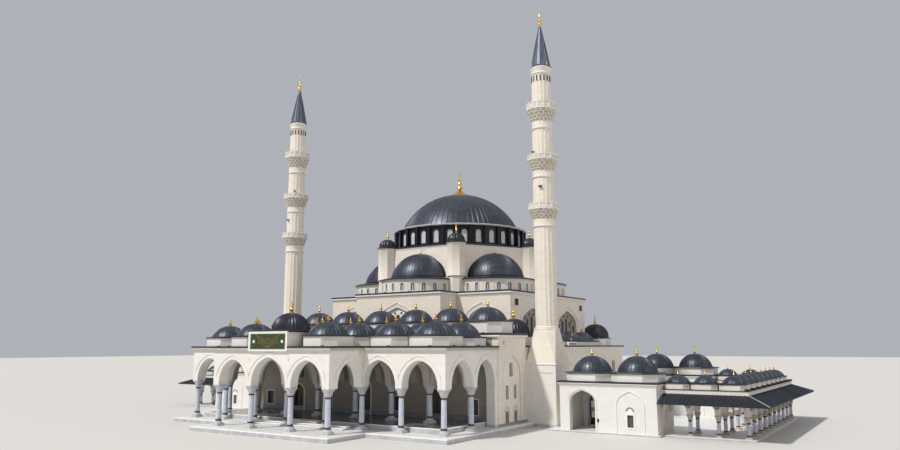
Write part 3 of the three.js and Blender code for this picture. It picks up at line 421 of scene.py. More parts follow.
def plate(outline, holes=(), front=0.0, back=-0.1):  # a slab in u and v that faces +w
    loops = [list(outline) if area(list(outline)) > 0 else list(outline)[::-1]]
    loops += [list(h) if area(list(h)) < 0 else list(h)[::-1] for h in holes]
    flat = [p for loop in loops for p in loop]
    n = len(flat)
    points = [(u, v, front) for u, v in flat] + [(u, v, back) for u, v in flat]
    faces = []
    for tri in tessellate_polygon([[Vector((u, v, 0)) for u, v in loop] for loop in loops]):
        a, b, c = (flat[i] for i in tri)
        if (b[0] - a[0]) * (c[1] - a[1]) - (b[1] - a[1]) * (c[0] - a[0]) < 0:
            tri = tri[::-1]
        faces += [tuple(tri), tuple(n + i for i in tri[::-1])]
    start = 0
    for loop in loops:
        for i in range(len(loop)):
            j = (i + 1) % len(loop)
            faces.append((start + j, start + i, n + start + i, n + start + j))
        start += len(loop)
    return points, faces


def solid(outline, low, high):  # a plan outline between two heights
    return plate(outline, (), high, low)


def block(x0, x1, y0, y1, z0, z1, edge=0.0):  # a block with its upper edges eased
    if not edge:
        return solid(frameOf(x0, x1, y0, y1), z0, z1)
    loops = [[(*p, z) for p in frameOf(x0 + k, x1 - k, y0 + k, y1 - k)]
             for k, z in ((0, z0), (0, z1 - edge), (edge, z1))]
    return loft(loops, capped=(True, True))


def trim(path, steps, closed=False):  # a moulding of [out, up] pairs along a flat path, outwards to its left
    count, points, faces = len(path), [], []
    for i in range(count):
        ways = []
        if closed or i:
            a, b = Vector(path[i - 1]), Vector(path[i])
            ways.append((b - a).normalized())
        if closed or i < count - 1:
            a, b = Vector(path[i]), Vector(path[(i + 1) % count])
            ways.append((b - a).normalized())
        normals = [Vector((-d.y, d.x)) for d in ways]
        mitre = normals[0]
        if len(normals) == 2:
            mitre = (mitre + normals[1]) / max(0.35, 1 + mitre.dot(normals[1]))
        points += [(path[i][0] + mitre.x * out, path[i][1] + mitre.y * out, up) for out, up in steps]
    m = len(steps)
    for i in range(count if closed else count - 1):
        j = (i + 1) % count
        for k in range(m):
            q = (k + 1) % m
            faces.append((i * m + k, i * m + q, j * m + q, j * m + k))
    if not closed:
        faces += [tuple(range(m))[::-1], tuple(range((count - 1) * m, count * m))]
    if area(steps) < 0:
        faces = [f[::-1] for f in faces]
    return points, faces


def bar(a, b, wide, high):  # a square bar between two points
    a, b = Vector(a), Vector(b)
    way = (b - a).normalized()
    side = way.cross(Vector((0, 0, 1)))
    side = (side if side.length > 1e-3 else Vector((1, 0, 0))).normalized() * wide / 2
    up = side.normalized().cross(way) * high / 2
    loops = [[tuple(p + s * side + t * up) for s, t in ((-1, -1), (1, -1), (1, 1), (-1, 1))] for p in (a, b)]
    return loft([loops[0][::-1], loops[1][::-1]], capped=(True, True))


def facing(side, at):  # puts a plate's u, v and w on the front, right, back or left of the building
    return Matrix({
        "front": ((1, 0, 0, 0), (0, 0, -1, at), (0, 1, 0, 0), (0, 0, 0, 1)),
        "right": ((0, 0, 1, at), (1, 0, 0, 0), (0, 1, 0, 0), (0, 0, 0, 1)),
        "back": ((-1, 0, 0, 0), (0, 0, 1, at), (0, 1, 0, 0), (0, 0, 0, 1)),
        "left": ((0, 0, -1, at), (-1, 0, 0, 0), (0, 1, 0, 0), (0, 0, 0, 1))}[side])


def outward(a, r, x=0.0, y=0.0):  # the same on a wall that looks along a, at r from (x, y)
    return Matrix(((cos(a), 0, sin(a), x + r * sin(a)), (sin(a), 0, -cos(a), y - r * cos(a)), (0, 1, 0, 0),
                   (0, 0, 0, 1)))


def at(x, y, z=0.0, turn=0.0):
    return Matrix.Translation((x, y, z)) @ Matrix.Rotation(turn, 4, "Z")


def raised(w):  # moves a plate out of its wall
    return Matrix.Translation((0, 0, w))


flip = Matrix.Scale(-1, 4, (1, 0, 0))  # right to left


class Shape:
    def __init__(self):
        self.points, self.faces, self.finish = [], [], []

    def take(self, points, faces, finish, place):
        if place is not None:
            m = np.array(place)
            points = points @ m[:3, :3].T + m[:3, 3]
            if np.linalg.det(m[:3, :3]) < 0:
                faces = [f[::-1] for f in faces]
        start = sum(len(p) for p in self.points)
        self.points.append(points)
        self.faces += [tuple(start + i for i in f) for f in faces]
        self.finish += finish
        return self

    def add(self, part, finish, place=None):
        return self.take(np.array(part[0], float), part[1], [finish] * len(part[1]), place)

    def join(self, other, place=None):
        return self.take(np.concatenate(other.points), other.faces, other.finish, place)

    def joinBoth(self, other):
        return self.join(other).join(other, flip)

    def make(self, name, stands, slot, body="root"):
        names = list(dict.fromkeys(self.finish))
        mesh = bpy.data.meshes.new(name)
        mesh.from_pydata((np.concatenate(self.points) * bay).tolist(), [], self.faces)
        for finish in names:
            mesh.materials.append(looks[finish])
        mesh.polygons.foreach_set("material_index", [names.index(f) for f in self.finish])
        tone = mesh.attributes.new("tone", "FLOAT", "FACE")
        tone.data.foreach_set("value", [chance.random() for f in self.faces])
        mesh.polygons.foreach_set("use_smooth", [True] * len(self.faces))
        mesh.set_sharp_from_angle(angle=radians(32))
        thing = bpy.data.objects.new(name, mesh)
        bpy.context.scene.collection.objects.link(thing)
        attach(thing, body)
        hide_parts(*stands)

    def makeBoth(self, name, stands, slot):
        self.make(name + "Right", [s + "_right" for s in stands], slot)
        Shape().join(self, flip).make(name + "Left", [s + "_left" for s in stands], slot)


# arches, columns, cornices and domes

keel, rounded = (0.5, 0.774), (0.524, 0.947)  # how far an arch swells below its point


def archCurve(centre, span, spring, rise, steps=14, swell=keel):
    half, side = span / 2, []
    for i in range(steps + 1):
        t = i / steps
        s = 1 - t
        u = s ** 3 + 3 * s * s * t + 3 * s * t * t * swell[0]
        v = 3 * s * s * t * 0.62 + 3 * s * t * t * swell[1] + t ** 3
        side.append((half * u, rise * v))
    return [(centre - u, spring + v) for u, v in side] + [(centre + u, spring + v) for u, v in side[-2::-1]]


def roundCurve(centre, span, spring, steps=8):
    r = span / 2
    return [(centre - r * cos(pi * i / steps), spring + r * sin(pi * i / steps)) for i in range(steps + 1)]


def opening(centre, width, sill, spring, rise, steps=10):
    return [(centre - width / 2, sill), *archCurve(centre, width, spring, rise, steps),
            (centre + width / 2, sill)]


def roundOpening(centre, width, sill, spring, steps=8):
    return [(centre - width / 2, sill), *roundCurve(centre, width, spring, steps), (centre + width / 2, sill)]


def passages(start, end, foot, head, ways, steps=10):  # a wall's outline over doorways and arches
    outline = [(start, foot)]
    for way in ways:
        centre, width, springs, rise = way
        outline += opening(centre, width, foot, springs, rise, steps)
    return outline + [(end, foot), (end, head), (start, head)]


def comb(start, end, foot, head, arches, steps=14, swell=keel):  # a wall with arches open at its foot
    outline = [(start, foot)]
    for centre, span, rise in arches:
        outline += archCurve(centre, span, foot, rise, steps, swell)
    return outline + [(end, foot), (end, head), (start, head)]


def ringed(r, n, z, square=0.0, pulse=0.0):  # a loop between a circle and a square
    loop = []
    for i in range(n):
        a = 2 * pi * i / n
        flat = r / max(abs(cos(a)), abs(sin(a)))
        q = r * (1 - square) + min(flat, r * 1.3) * square
        q *= 1 + pulse * cos(8 * a)
        loop.append((q * cos(a), q * sin(a), z))
    return loop


# height, width, squareness
capRings = ((0.2, 0.72, 0.1), (0.45, 0.8, 0.35), (0.7, 0.92, 0.7), (0.86, 1.0, 0.95))


def column(look, stone="shaftMarble", cap="carvedGrey", n=24):
    s = Shape()
    foot, neck, top, r, w, h = (look[part] for part in ("foot", "neck", "top", "shaft", "cap", "base"))
    s.add(block(-r * 1.75, r * 1.75, -r * 1.75, r * 1.75, foot, foot + h * 0.45, 0.006), cap)
    s.add(lathe(profile([(1.7, 0.45), (1.72, 0.6), (1.5, 0.72), (1.28, 0.8), (1.3, 0.92), (1.12, 1.0)],
                        0, foot, r, h), spokes(n)), cap)
    s.add(lathe(profile([(1.1, 1.0), (1.2, 1.06), (1.2, 1.3), (1.08, 1.38)], 0, foot, r, h), spokes(n)),
          "bronze")
    rows, start, long = 6, foot + h * 1.3, neck - 0.03 - foot - h * 1.3
    s.add(lathe([(r * (1.03 - 0.09 * i / rows), start + long * i / rows) for i in range(rows + 1)],
                spokes(n)), stone)
    s.add(lathe(profile([(0.95, -0.03), (1.12, -0.024), (1.12, -0.006), (0.95, 0)], 0, neck, r), spokes(n)),
          "bronze")
    tall = top - neck
    loops = [ringed(r * 0.97, 32, neck - 0.002)]
    for k, (share, wide, square) in enumerate(capRings):
        z, wave = neck + tall * share, 1 if k % 2 else -1
        loops += [ringed(w * (wide - 0.09), 32, z - tall * 0.1, square=square * 0.8, pulse=0.05 * wave),
                  ringed(w * wide, 32, z, square=square, pulse=0.035 * wave),
                  ringed(w * (wide - 0.02), 32, z + 0.001, square=square)]
    loops += [ringed(w * 1.02, 32, z, square=1.0) for z in (top - tall * 0.1, top)]
    return s.add(loft(loops, capped=(False, True)), cap)


def cornice(shape, plan, steps, finish):  # a moulding round a plan given anticlockwise
    shape.add(trim(plan[::-1], steps, True), finish)


def cutSquare(x, y, half, corner):
    h, c = half, half - corner
    return [(x - c, y - h), (x + c, y - h), (x + h, y - c), (x + h, y + c), (x + c, y + h), (x - c, y + h),
            (x - h, y + c), (x - h, y - c)]


def towards(plan, centre, a):  # where a ray from the centre leaves a plan outline
    best = None
    d = Vector((sin(a), -cos(a)))
    for p, q in zip(plan, plan[1:] + plan[:1]):
        p, q = Vector(p) - Vector(centre), Vector(q) - Vector(centre)
        e = q - p
        cross = d.x * e.y - d.y * e.x
        if abs(cross) < 1e-9:
            continue
        t = (p.x * e.y - p.y * e.x) / cross
        k = (p.x * d.y - p.y * d.x) / cross
        if t > 0 and -1e-6 <= k <= 1 + 1e-6 and (best is None or t < best):
            best = t
    return best


def ballCurve(radius, base, rise, rows):
    ball = (radius * radius + rise * rise) / (2 * rise)
    foot = asin(min(1.0, radius / ball))
    foot = foot if rise <= radius else pi - foot
    return [(ball * sin(foot * (1 - i / rows)), base + rise - ball * (1 - cos(foot * (1 - i / rows))))
            for i in range(rows + 1)]


bulbs = [(1.7, -0.04), (1.6, 0.01), (0.8, 0.07), (0.45, 0.12), (0.9, 0.18), (1.25, 0.26), (1.2, 0.33),
         (0.75, 0.41), (0.32, 0.46), (0.6, 0.5), (0.75, 0.55), (0.6, 0.6), (0.26, 0.64), (0.46, 0.68),
         (0.48, 0.73), (0.18, 0.78), (0.13, 0.89), (0.0, 1.0)]


def finial(shape, x, y, base, tip, wide):  # a gilded stem of bulbs that ends in a point
    shape.add(lathe(profile(bulbs, 0, base, wide, tip - base), spokes(14)), "gold", at(x, y))


def dome(shape, x, y, look):
    curve = ballCurve(look["radius"], look["base"], look["rise"], look.get("rows", 9))
    foot = profile([(0.012, -0.012), (0.012, 0.004)], look["radius"], look["base"])
    rays = seams(look["seams"], look.get("seam", 0.014))
    shape.add(lathe([*foot, *curve], rays, look.get("lift", 0.009)), "lead", at(x, y))
    finial(shape, x, y, look["base"] + look["rise"] - 0.012, look["tip"], look.get("knob", 0.03))


def drumAndDome(shape, x, y, half, corner, roof, eave, look):
    plan = cutSquare(x, y, half, corner)
    shape.add(solid(plan, roof - 0.01, eave - 0.028), "paleStone")
    cornice(shape, plan, profile([(-0.01, -0.05), (0.008, -0.05), (0.018, -0.028), (-0.01, -0.028)], 0, eave),
            "trimStone")
    cornice(shape, plan, profile([(-0.02, -0.028), (0.026, -0.028), (0.03, -0.01), (0.026, 0), (-0.02, 0)],
                                 0, eave),
            "leadFlat")
    corners = [atan2(px - x, -(py - y)) % (2 * pi) for px, py in plan]
    angles = sorted([2 * pi * i / 48 for i in range(48)] + corners)
    reach = [towards(plan, (x, y), a) + 0.01 for a in angles]
    r = look["radius"] + 0.01
    outer = [(x + q * sin(a), y - q * cos(a), eave - 0.001) for a, q in zip(angles, reach)]
    inner = [(x + r * sin(a), y - r * cos(a), look["base"]) for a in angles]
    shape.add(loft([outer, inner]), "lead")
    dome(shape, x, y, look)


# a window's glass, set back in its reveal
def pane(shape, outline, place, back, finish="darkGlass", thick=0.012):
    shape.add(plate(outline, (), -back, -back - thick), finish, place)


def edging(shape, outline, place, out=0.0, wide=0.03, high=0.015, finish="trimStone"):
    path = outline if area(outline) < 0 else outline[::-1]
    shape.add(trim(path, [(out, -0.003), (out, high), (out + wide, high), (out + wide, -0.003)], True),
              finish, place)


print("tools are ready")


# portico and porch

lines = [0.565, 1.557, 2.55, 3.545]
bayMiddles = [-3.0475, -2.0535, -1.061, 0.0, 1.061, 2.0535, 3.0475]
portico = {"porchY": -0.996, "middleY": 0.966, "backY": 1.8595, "half": 0.1, "crossHalf": 0.08,
           "spring": 0.935, "head": 1.66, "eave": 1.742, "out": 0.05, "span": 0.84, "middleSpan": 0.978,
           "rise": 0.53,
           "reach": {0.0: 0.584, 0.5: 0.474, 1.385: 0.45}}  # how wide the ring of an arch may be
porticoColumn = {"foot": 0.09, "neck": 0.78, "top": 0.935, "shaft": 0.054, "cap": 0.098, "base": 0.1}
innerColumn = {**porticoColumn, "foot": 0.19}
porticoDome = {"radius": 0.41, "base": 1.971, "rise": 0.262, "tip": 2.42, "seams": 32, "seam": 0.012,
               "lift": 0.006, "knob": 0.034}
porticoFillet = (1.645, 1.706, 0.03)
roofEdge = (1.706, 1.745)  # foot and head of the lead edge of the lower roofs
porticoRearDome = {**porticoDome, "radius": 0.4, "base": 1.941, "rise": 0.295}


def fillet(shape, path, foot, head, out, closed=False):  # pale moulding below the lead edge
    tall = head - foot
    shape.add(trim(path, [(-0.01, foot), (out * 0.25, foot), (out * 0.3, foot + tall * 0.35),
                          (out * 0.75, foot + tall * 0.5), (out * 0.8, head), (-0.01, head)], closed),
              "trimStone")


def leadEdge(shape, path, foot, head, out, closed=False):
    shape.add(trim(path, [(-0.05, foot), (out - 0.006, foot), (out, foot + 0.008), (out, head - 0.01),
                          (out - 0.012, head), (-0.05, head)], closed), "leadFlat")


def circle(x, y, r, count=24):
    return [(x + r * cos(2 * pi * i / count), y + r * sin(2 * pi * i / count)) for i in range(count)]


# a roof slab with a hollow under each dome; by default its underside and hollows are in the stone darkened as
# painted shade under the roof
def vaulted(shape, domes, outline, low, high, r, crown, stone="innerStone"):
    holes = [circle(x, y, r) for x, y in domes]
    shape.add(plate(outline, holes, high - 0.036, low), stone)
    shape.add(plate(outline, holes, high, high - 0.036), "leadFlat")
    for x, y in domes:
        hollow = lathe([(r + 0.002, low - 0.004), *ballCurve(r, high + 0.1, crown, 5)], spokes(24))
        shape.add(inward(hollow), stone, at(x, y))


# a raised ring round an arch
def archBand(shape, arch, spring, place, reach, out=0.01, wide=0.108, finish="trimStone", swell=keel):
    centre, span, rise = arch
    loops, edge, pointed = [], reach - 0.02, swell is keel
    for share, h in ((0, -0.004), (0, 0.006), (0.86, 0.006), (0.88, 0.018), (1, 0.018), (1, -0.004)):
        o = out + wide * share
        bulge = swell if pointed else (swell[0] - 0.57 * o, swell[1] - 0.1 * o)
        curve = archCurve(centre, span + 2 * o, spring, rise + o * (1.12 if pointed else 0.86), 20, bulge)
        limit = min(edge, span / 2 + o)
        loops.append([(max(centre - limit, min(centre + limit, u)), v,
                       min(h, 0.006) if abs(u - centre) > edge else h)
                      for u, v in curve])
    shape.add(loft(loops, closed=False), finish, place)


def porticoArches():
    return [(x, portico["middleSpan"] if x == 0 else portico["span"], 0.56 if x == 0 else portico["rise"])
            for x in bayMiddles]


sign = {"front": -1.0965, "frameX": 0.562, "frameZ": (1.645, 2.04), "panelX": 0.508, "panelZ": (1.682, 1.996),
        "out": 0.05, "panelOut": 0.034}


def arcade(shape, start, end, arches, side, line):  # a wall on arches, with a raised ring round each arch
    p, h = portico, portico["half"]
    shape.add(plate(comb(start, end, p["spring"], p["head"], arches, 16, rounded), (), h, -h), "paleStone",
              facing(side, line))
    face = facing(side, line - h if side == "front" else line + h)
    for arch in arches:
        archBand(shape, arch, p["spring"], face, p["reach"].get(arch[0], 0.5145), swell=rounded)


def buildPorch():
    p, s = portico, Shape()
    c2, h = lines[1], p["half"]
    arches = [(-1.061, p["span"], p["rise"]), (0.0, p["middleSpan"], 0.58), (1.061, p["span"], p["rise"])]
    arcade(s, -c2 - h, c2 + h, arches, "front", p["porchY"])
    side = [(-0.498, 0.7, 0.5)]
    wall = comb(p["porchY"] + h, -h - 0.001, p["spring"], p["head"], side, 16, rounded)
    for way in (1, -1):
        s.add(plate(wall, (), h, -h), "paleStone", facing("right", way * c2))
        band = Shape()
        archBand(band, side[0], p["spring"], facing("right", c2 + h), 0.48, swell=rounded)
        s.join(band, None if way > 0 else flip)
        for x in (lines[0], c2):
            s.join(column(porticoColumn), at(way * x, p["porchY"]))
        s.add(lathe([(0.03, 0), (0.03, 0.012), (0.022, 0.014), (0.02, 0.006), (0.0, 0.012)], spokes(16)),
              "trimStone",
              Matrix.Translation((way * lines[0], p["porchY"] - h, 1.5)) @ Matrix.Rotation(pi / 2, 4, "X"))
    edge = [(c2 + h, -h), (c2 + h, p["porchY"] - h), (sign["frameX"] + 0.001, p["porchY"] - h)]
    for path in (edge, [(-x, y) for x, y in edge][::-1]):
        fillet(s, path, *porticoFillet)
    s.make("porchArcade", ["porch_arcade"], "pale_stone")


def buildFrontArcade():
    p, s = portico, Shape()
    c4, h = lines[3], p["half"]
    arcade(s, -c4 - h, c4 + h, porticoArches(), "front", 0)
    for x in lines:
        for way in (1, -1):
            s.join(column(porticoColumn), at(way * x, 0))
    edge = [(c4 + h, h), (c4 + h, -h), (lines[1] + h, -h)]
    for path in (edge, [(-x, y) for x, y in edge][::-1]):
        fillet(s, path, *porticoFillet)
    s.make("frontArcade", ["front_arcade"], "pale_stone")


def buildInnerArcades():
    p, s = portico, Shape()
    h, q, back = p["half"], p["crossHalf"], p["backY"]
    arches = [(x, 0.74 if x > 3 else w, r) for x, w, r in porticoArches() if x > 0]
    outline = [(0.001, p["head"]), (0.001, p["spring"] + 0.56),
               *archCurve(0, p["middleSpan"], p["spring"], 0.56, 14, rounded)[15:]]
    for centre, span, rise in arches:
        outline += archCurve(centre, span, p["spring"], rise, 14, rounded)
    outline += [(lines[3] - h - 0.001, p["spring"]), (lines[3] - h - 0.001, p["head"])]
    # the inner arcades are in the stone darkened as painted shade of the covered portico
    s.add(plate(outline, (), h, -h), "innerStone", facing("front", p["middleY"]))
    for x in lines[:3]:
        for start, end, arch in ((h + 0.001, p["middleY"] - h, (p["middleY"] / 2, 0.72, 0.5)),
                                 (p["middleY"] + h, back, (1.42, 0.68, 0.5))):
            s.add(plate(comb(start, end, p["spring"], p["head"], [arch], 14, rounded), (), q, -q),
                  "innerStone", facing("right", x))
        s.join(column(innerColumn), at(x, p["middleY"]))
    s.makeBoth("innerArcades", ["inner_arcades"], "pale_stone")


def buildSideArcade():
    p, s = portico, Shape()
    h, c4, back = p["half"], lines[3], p["backY"]
    arcade(s, h + 0.001, back, [(0.5, 0.78, p["rise"]), (1.385, 0.69, p["rise"])], "right", c4)
    s.join(column(porticoColumn), at(c4, p["middleY"]))
    s.add(block(c4 - h, c4 + h, 1.731, back, 0.09, p["spring"]), "paleStone")
    s.add(block(c4 - h - 0.006, c4 + h + 0.006, 1.725, back, 0.09, 0.15, 0.006), "plinthGrey")
    fillet(s, [(c4 + h, back), (c4 + h, h)], *porticoFillet)
    s.makeBoth("porticoSideArcade", ["portico_side_arcade"], "pale_stone")


def outlet(shape, x, y, z, side):  # a small lead spout at the foot of a drum
    shape.add(block(-0.03, 0.03, -0.03, 0.006, -0.008, 0.014, 0.006), "leadFlat", at(x, y, z, side))


def buildPorticoRoofs():
    p, e = portico, portico["out"]
    c2, c4, h = lines[1], lines[3], portico["half"]
    s = Shape()
    outline = [(0.5505, p["porchY"] - h - e), (c2 + h + e, p["porchY"] - h - e), (c2 + h + e, -0.0305),
               (0.5505, -0.0305)]
    vaulted(s, [(1.061, -0.5)], outline, p["head"], p["eave"], 0.35, 0.2)
    drumAndDome(s, 1.061, -0.5, 0.462, 0.23, p["eave"], 1.96, porticoDome)
    leadEdge(s, [(c2 + h, -0.031), (c2 + h, p["porchY"] - h), (0.56, p["porchY"] - h)], *roofEdge,
             e + 0.002)
    outlet(s, 1.35, -0.962, 1.745, 0)
    s.makeBoth("porchRoof", ["porch_roof"], "lead")
    s = Shape()
    outline = [(-c4 - h - e, -h - e), (-c2 - h - e - 0.001, -h - e), (-c2 - h - e - 0.001, -0.03),
               (c2 + h + e + 0.001, -0.03),
               (c2 + h + e + 0.001, -h - e), (c4 + h + e, -h - e), (c4 + h + e, p["backY"]),
               (-c4 - h - e, p["backY"])]
    domes = [(x, y) for y in (0.452, 1.396) for x in bayMiddles]
    vaulted(s, domes, outline, p["head"], p["eave"], 0.34, 0.2)
    for i, (x, y) in enumerate(domes):
        front = y < 1
        if front:
            drumAndDome(s, x, y, 0.478, 0.24, p["eave"], 1.957 + 0.0015 * (i % 2), porticoDome)
        else:
            drumAndDome(s, x, y, 0.46, 0.23, p["eave"], 1.927, porticoRearDome)
        if front and abs(x) > 1.5:
            outlet(s, x + 0.2, y - 0.478, 1.745, 0)
        if x > 3:
            outlet(s, x + 0.478, y - 0.1, 1.745, pi / 2)
    edge = [(c4 + h, p["backY"]), (c4 + h, -h), (c2 + h + e, -h)]
    for path in (edge, [(-x, y) for x, y in edge][::-1]):
        leadEdge(s, path, *roofEdge, e + 0.002)
    s.make("porticoRoof", ["portico_roof"], "lead")


for buildPart in (buildPorch, buildFrontArcade, buildInnerArcades, buildSideArcade, buildPorticoRoofs):
    buildPart()
print("portico and porch are built")


# entrance block with its sign and ribbed dome

entrance = {"half": 0.55, "front": -1.096, "back": -0.031, "foot": 1.66, "top": 2.062, "domeY": -0.5,
            "lobes": 32, "dome": (0.386, 2.088, 0.352), "ceiling": (0.342, 2.06, 0.3),
            "finial": (2.425, 2.72)}


def ribbon(shape, points, wide, high, finish, place):
    shape.add(trim(points, [(-wide / 2, -0.002), (-wide * 0.3, high), (wide * 0.3, high),
                            (wide / 2, -0.002)]), finish, place)


def rosette(shape, u, v, r, petals, high, finish, place):
    loop = []
    for i in range(petals * 6):
        a = 2 * pi * i / (petals * 6)
        q = r * (0.72 + 0.28 * abs(cos(petals * a / 2)))
        loop.append((u + q * cos(a), v + q * sin(a)))
    shape.add(plate(loop, (), high, -0.002), finish, place)


def buildEntranceBlock():
    e, s = entrance, Shape()
    x, y0, y1 = e["half"], e["front"], e["back"]
    eave, plan, hole = e["top"] - 0.038, frameOf(-x, x, y0, y1), circle(0, e["domeY"], 0.34)
    s.add(plate(plan, [frameOf(-0.45, 0.45, -0.896, -0.15)], eave - 0.04, e["foot"]), "paleStone")
    s.add(plate(plan, [hole], eave, eave - 0.04), "paleStone")
    fillet(s, plan[::-1], eave - 0.045, eave, 0.035, True)
    s.add(plate(plan, [hole], e["top"], eave), "leadFlat")
    leadEdge(s, plan[::-1], eave, e["top"] + 0.001, 0.045, True)
    s.make("entranceBlock", ["entrance_block"], "pale_stone")


def buildEntranceSign():
    s, place = Shape(), facing("front", sign["front"])
    (z0, z1), (p0, p1), w = sign["frameZ"], sign["panelZ"], sign["frameX"]
    panel = around(0, sign["panelX"], p0, p1)
    s.add(plate(frameOf(-w, w, z0, z1), [panel], sign["out"], 0), "trimStone", place)
    s.add(plate(panel, (), sign["panelOut"], 0.0), "signGreen", place)
    middle = (p0 + p1) / 2
    place = place @ raised(sign["panelOut"])
    edging(s, around(0, 0.468, p0 + 0.022, p1 - 0.022), place, 0.0, 0.006, 0.004, "signLeaf")
    for k in range(4):
        wave, swing = 1.5 + 0.5 * k, 0.085 - 0.018 * k
        path = [(-0.3 + 0.6 * i / 90, middle + swing * sin(2 * pi * (i / 90 * wave + k / 4)))
                for i in range(91)]
        ribbon(s, path, 0.009, 0.006, "signGold", place)
    for k in range(24):
        u, v = -0.33 + 0.66 * (k * 0.618 % 1), middle + 0.115 * cos(k * 2.4)
        rosette(s, u, v, 0.013, 4, 0.006, "signGold" if k % 3 == 0 else "signLeaf", place)
    for u in (-0.41, 0.41):
        rosette(s, u, middle, 0.046, 12, 0.006, "signLeaf", place)
        rosette(s, u, middle, 0.03, 10, 0.0085, "warmWhite", place)
        for k in range(6):
            a = pi / 3 * k + 0.5
            rosette(s, u + 0.068 * cos(a), middle + 0.085 * sin(a), 0.01, 4, 0.005, "signLeaf", place)
    s.make("entranceSign", ["entrance_sign"], "sign")


def buildEntranceDome():
    e, s = entrance, Shape()
    rays, place = lobes(e["lobes"]), at(0, e["domeY"])
    s.add(lathe([(0.43, 2.058), (0.43, 2.086), (0.40, 2.094)], spokes(48)), "leadFlat", place)
    s.add(lathe(ballCurve(*e["dome"], 10), rays, 0.02), "ribbedLead", place)
    hollow = lathe([(e["ceiling"][0], 1.95), *ballCurve(*e["ceiling"], 6)], spokes(24))
    s.add(inward(hollow), "paleStone", place)
    finial(s, 0, e["domeY"], *e["finial"], 0.036)
    s.make("entranceDome", ["entrance_dome"], "lead")


for buildPart in (buildEntranceBlock, buildEntranceSign, buildEntranceDome):
    buildPart()
print("entrance block is built")


# narthex and aisles

body = {"x": 3.66, "thick": 0.14, "narthexY": (1.8605, 3.11), "narthexRoof": 2.013, "backY": 9.2, "out": 0.05,
        "plinth": 0.09, "aisleHead": 1.672, "eave": 1.742, "middleY": 6.148,
        "windows": (4.45, 5.25, 6.05, 6.85, 7.65, 8.45), "square": (0.1, 0.3, 0.62),
        "pointed": (0.24, 0.85, 1.24, 0.12, 8)}
narthex = {"slab": 0.08, "domeY": 2.52, "pane": (0.12, 0.3, 0.62),
           "recess": (2.47, 0.72, 0.12, 1.14, 0.4, 14), "sink": 0.018,
           "small": (0.66, 0.95, 0.4), "wide": (2.1, 0.75, 0.6), "fillet": (1.90, 1.965, 0.032),
           "doors": [(-2.0535, 0.36, 0.62, 0.198), (0.0, 0.5, 0.75, 0.275), (2.0535, 0.36, 0.62, 0.198)],
           "lights": [(2.44, 0.16, 1.09, 1.33, 0.07, 8), (2.256, 0.13, 0.62, 0.87, 0.06, 8),
                      (2.613, 0.13, 0.62, 0.87, 0.06, 8)],
           "darkPanes": [(2.185, 2.315, 0.13, 0.38), (2.56, 2.69, 0.13, 0.38)]}
narthexDome = {"radius": 0.42, "base": 2.301, "rise": 0.298, "tip": 2.83, "seams": 36, "seam": 0.011,
               "lift": 0.006, "knob": 0.028}
aisleTop = {"ribbed": ((3.15, 3.5175), (3.02, 2 * body["middleY"] - 3.5175)), "corner": 0.17,
            "drumTop": 1.937, "domeFoot": 1.966, "tierX": 3.55, "tierY": 4.62, "tierHead": 1.838,
            "edge": 0.016, "vent": (5.5, 6.02), "slots": ((5.54, 5.62), (5.67, 5.81), (5.87, 5.96))}
tierDome = {"radius": 0.33, "base": 1.862, "rise": 0.25, "tip": 2.26, "seams": 28, "lift": 0.005,
            "knob": 0.024}
hall = {"x": 2.86, "y": (3.905, 8.391), "bumpX": 1.325, "bumpY": (3.157, 9.139), "head": 3.02, "roof": 3.09,
        "foot": 0.19, "lead": 3.052, "hexagon": 1.93}


def window(shape, hole, place, glass, back, rim, stone="trimStone"):  # glass and a raised surround
    pane(shape, hole, place, back, glass)
    edging(shape, hole, place, 0.0, rim, 0.008, stone)


def windowWall(shape, outline, centres, place):  # a wall with a square window below each pointed one
    low = [around(c, *body["square"]) for c in centres]
    high = [opening(c, *body["pointed"]) for c in centres]
    shape.add(plate(outline, low + high, 0, -body["thick"]), "hallStone", place)
    for hole in low:
        window(shape, hole, place, "darkGlass", 0.05, 0.02)
    for hole in high:
        window(shape, hole, place, "blueGlass", 0.05, 0.026)


def grooved(shape, path, place, wide=0.014, high=0.008, finish="trimStone"):  # a thin raised line on a wall
    ribbon(shape, path, wide, high, finish, place)


def tympanum(shape, centre, width, sill, head, place):  # a dark pane below a white fan in an arched frame
    hole = frameOf(centre - width / 2, centre + width / 2, sill, head)
    pane(shape, hole, place, 0.04, "blackGlass")
    arch = roundOpening(centre, width * 1.15, head, head + 0.02, 10)
    fan = roundOpening(centre, width * 0.92, head + 0.004, head + 0.02, 10)
    shape.add(plate(fan, (), 0.004, -0.004), "chalkStone", place)
    for k in range(1, 4):
        a, r = pi * k / 4, width * 0.43
        line = [(centre, head + 0.02), (centre + r * cos(a), head + 0.02 + r * sin(a))]
        grooved(shape, line, place, 0.008, 0.008, "plinthGrey")
    edging(shape, arch, place, 0.0, 0.012, 0.012, "plinthGrey")
    edging(shape, hole, place, 0.0, 0.012, 0.01, "plinthGrey")


def skirting(shape, path, foot=0.09, high=0.055, out=0.0105):
    shape.add(trim(path, [(-0.004, foot), (out, foot), (out, foot + high - 0.005), (out - 0.005, foot + high),
                          (-0.004, foot + high)]), "skirtGrey")


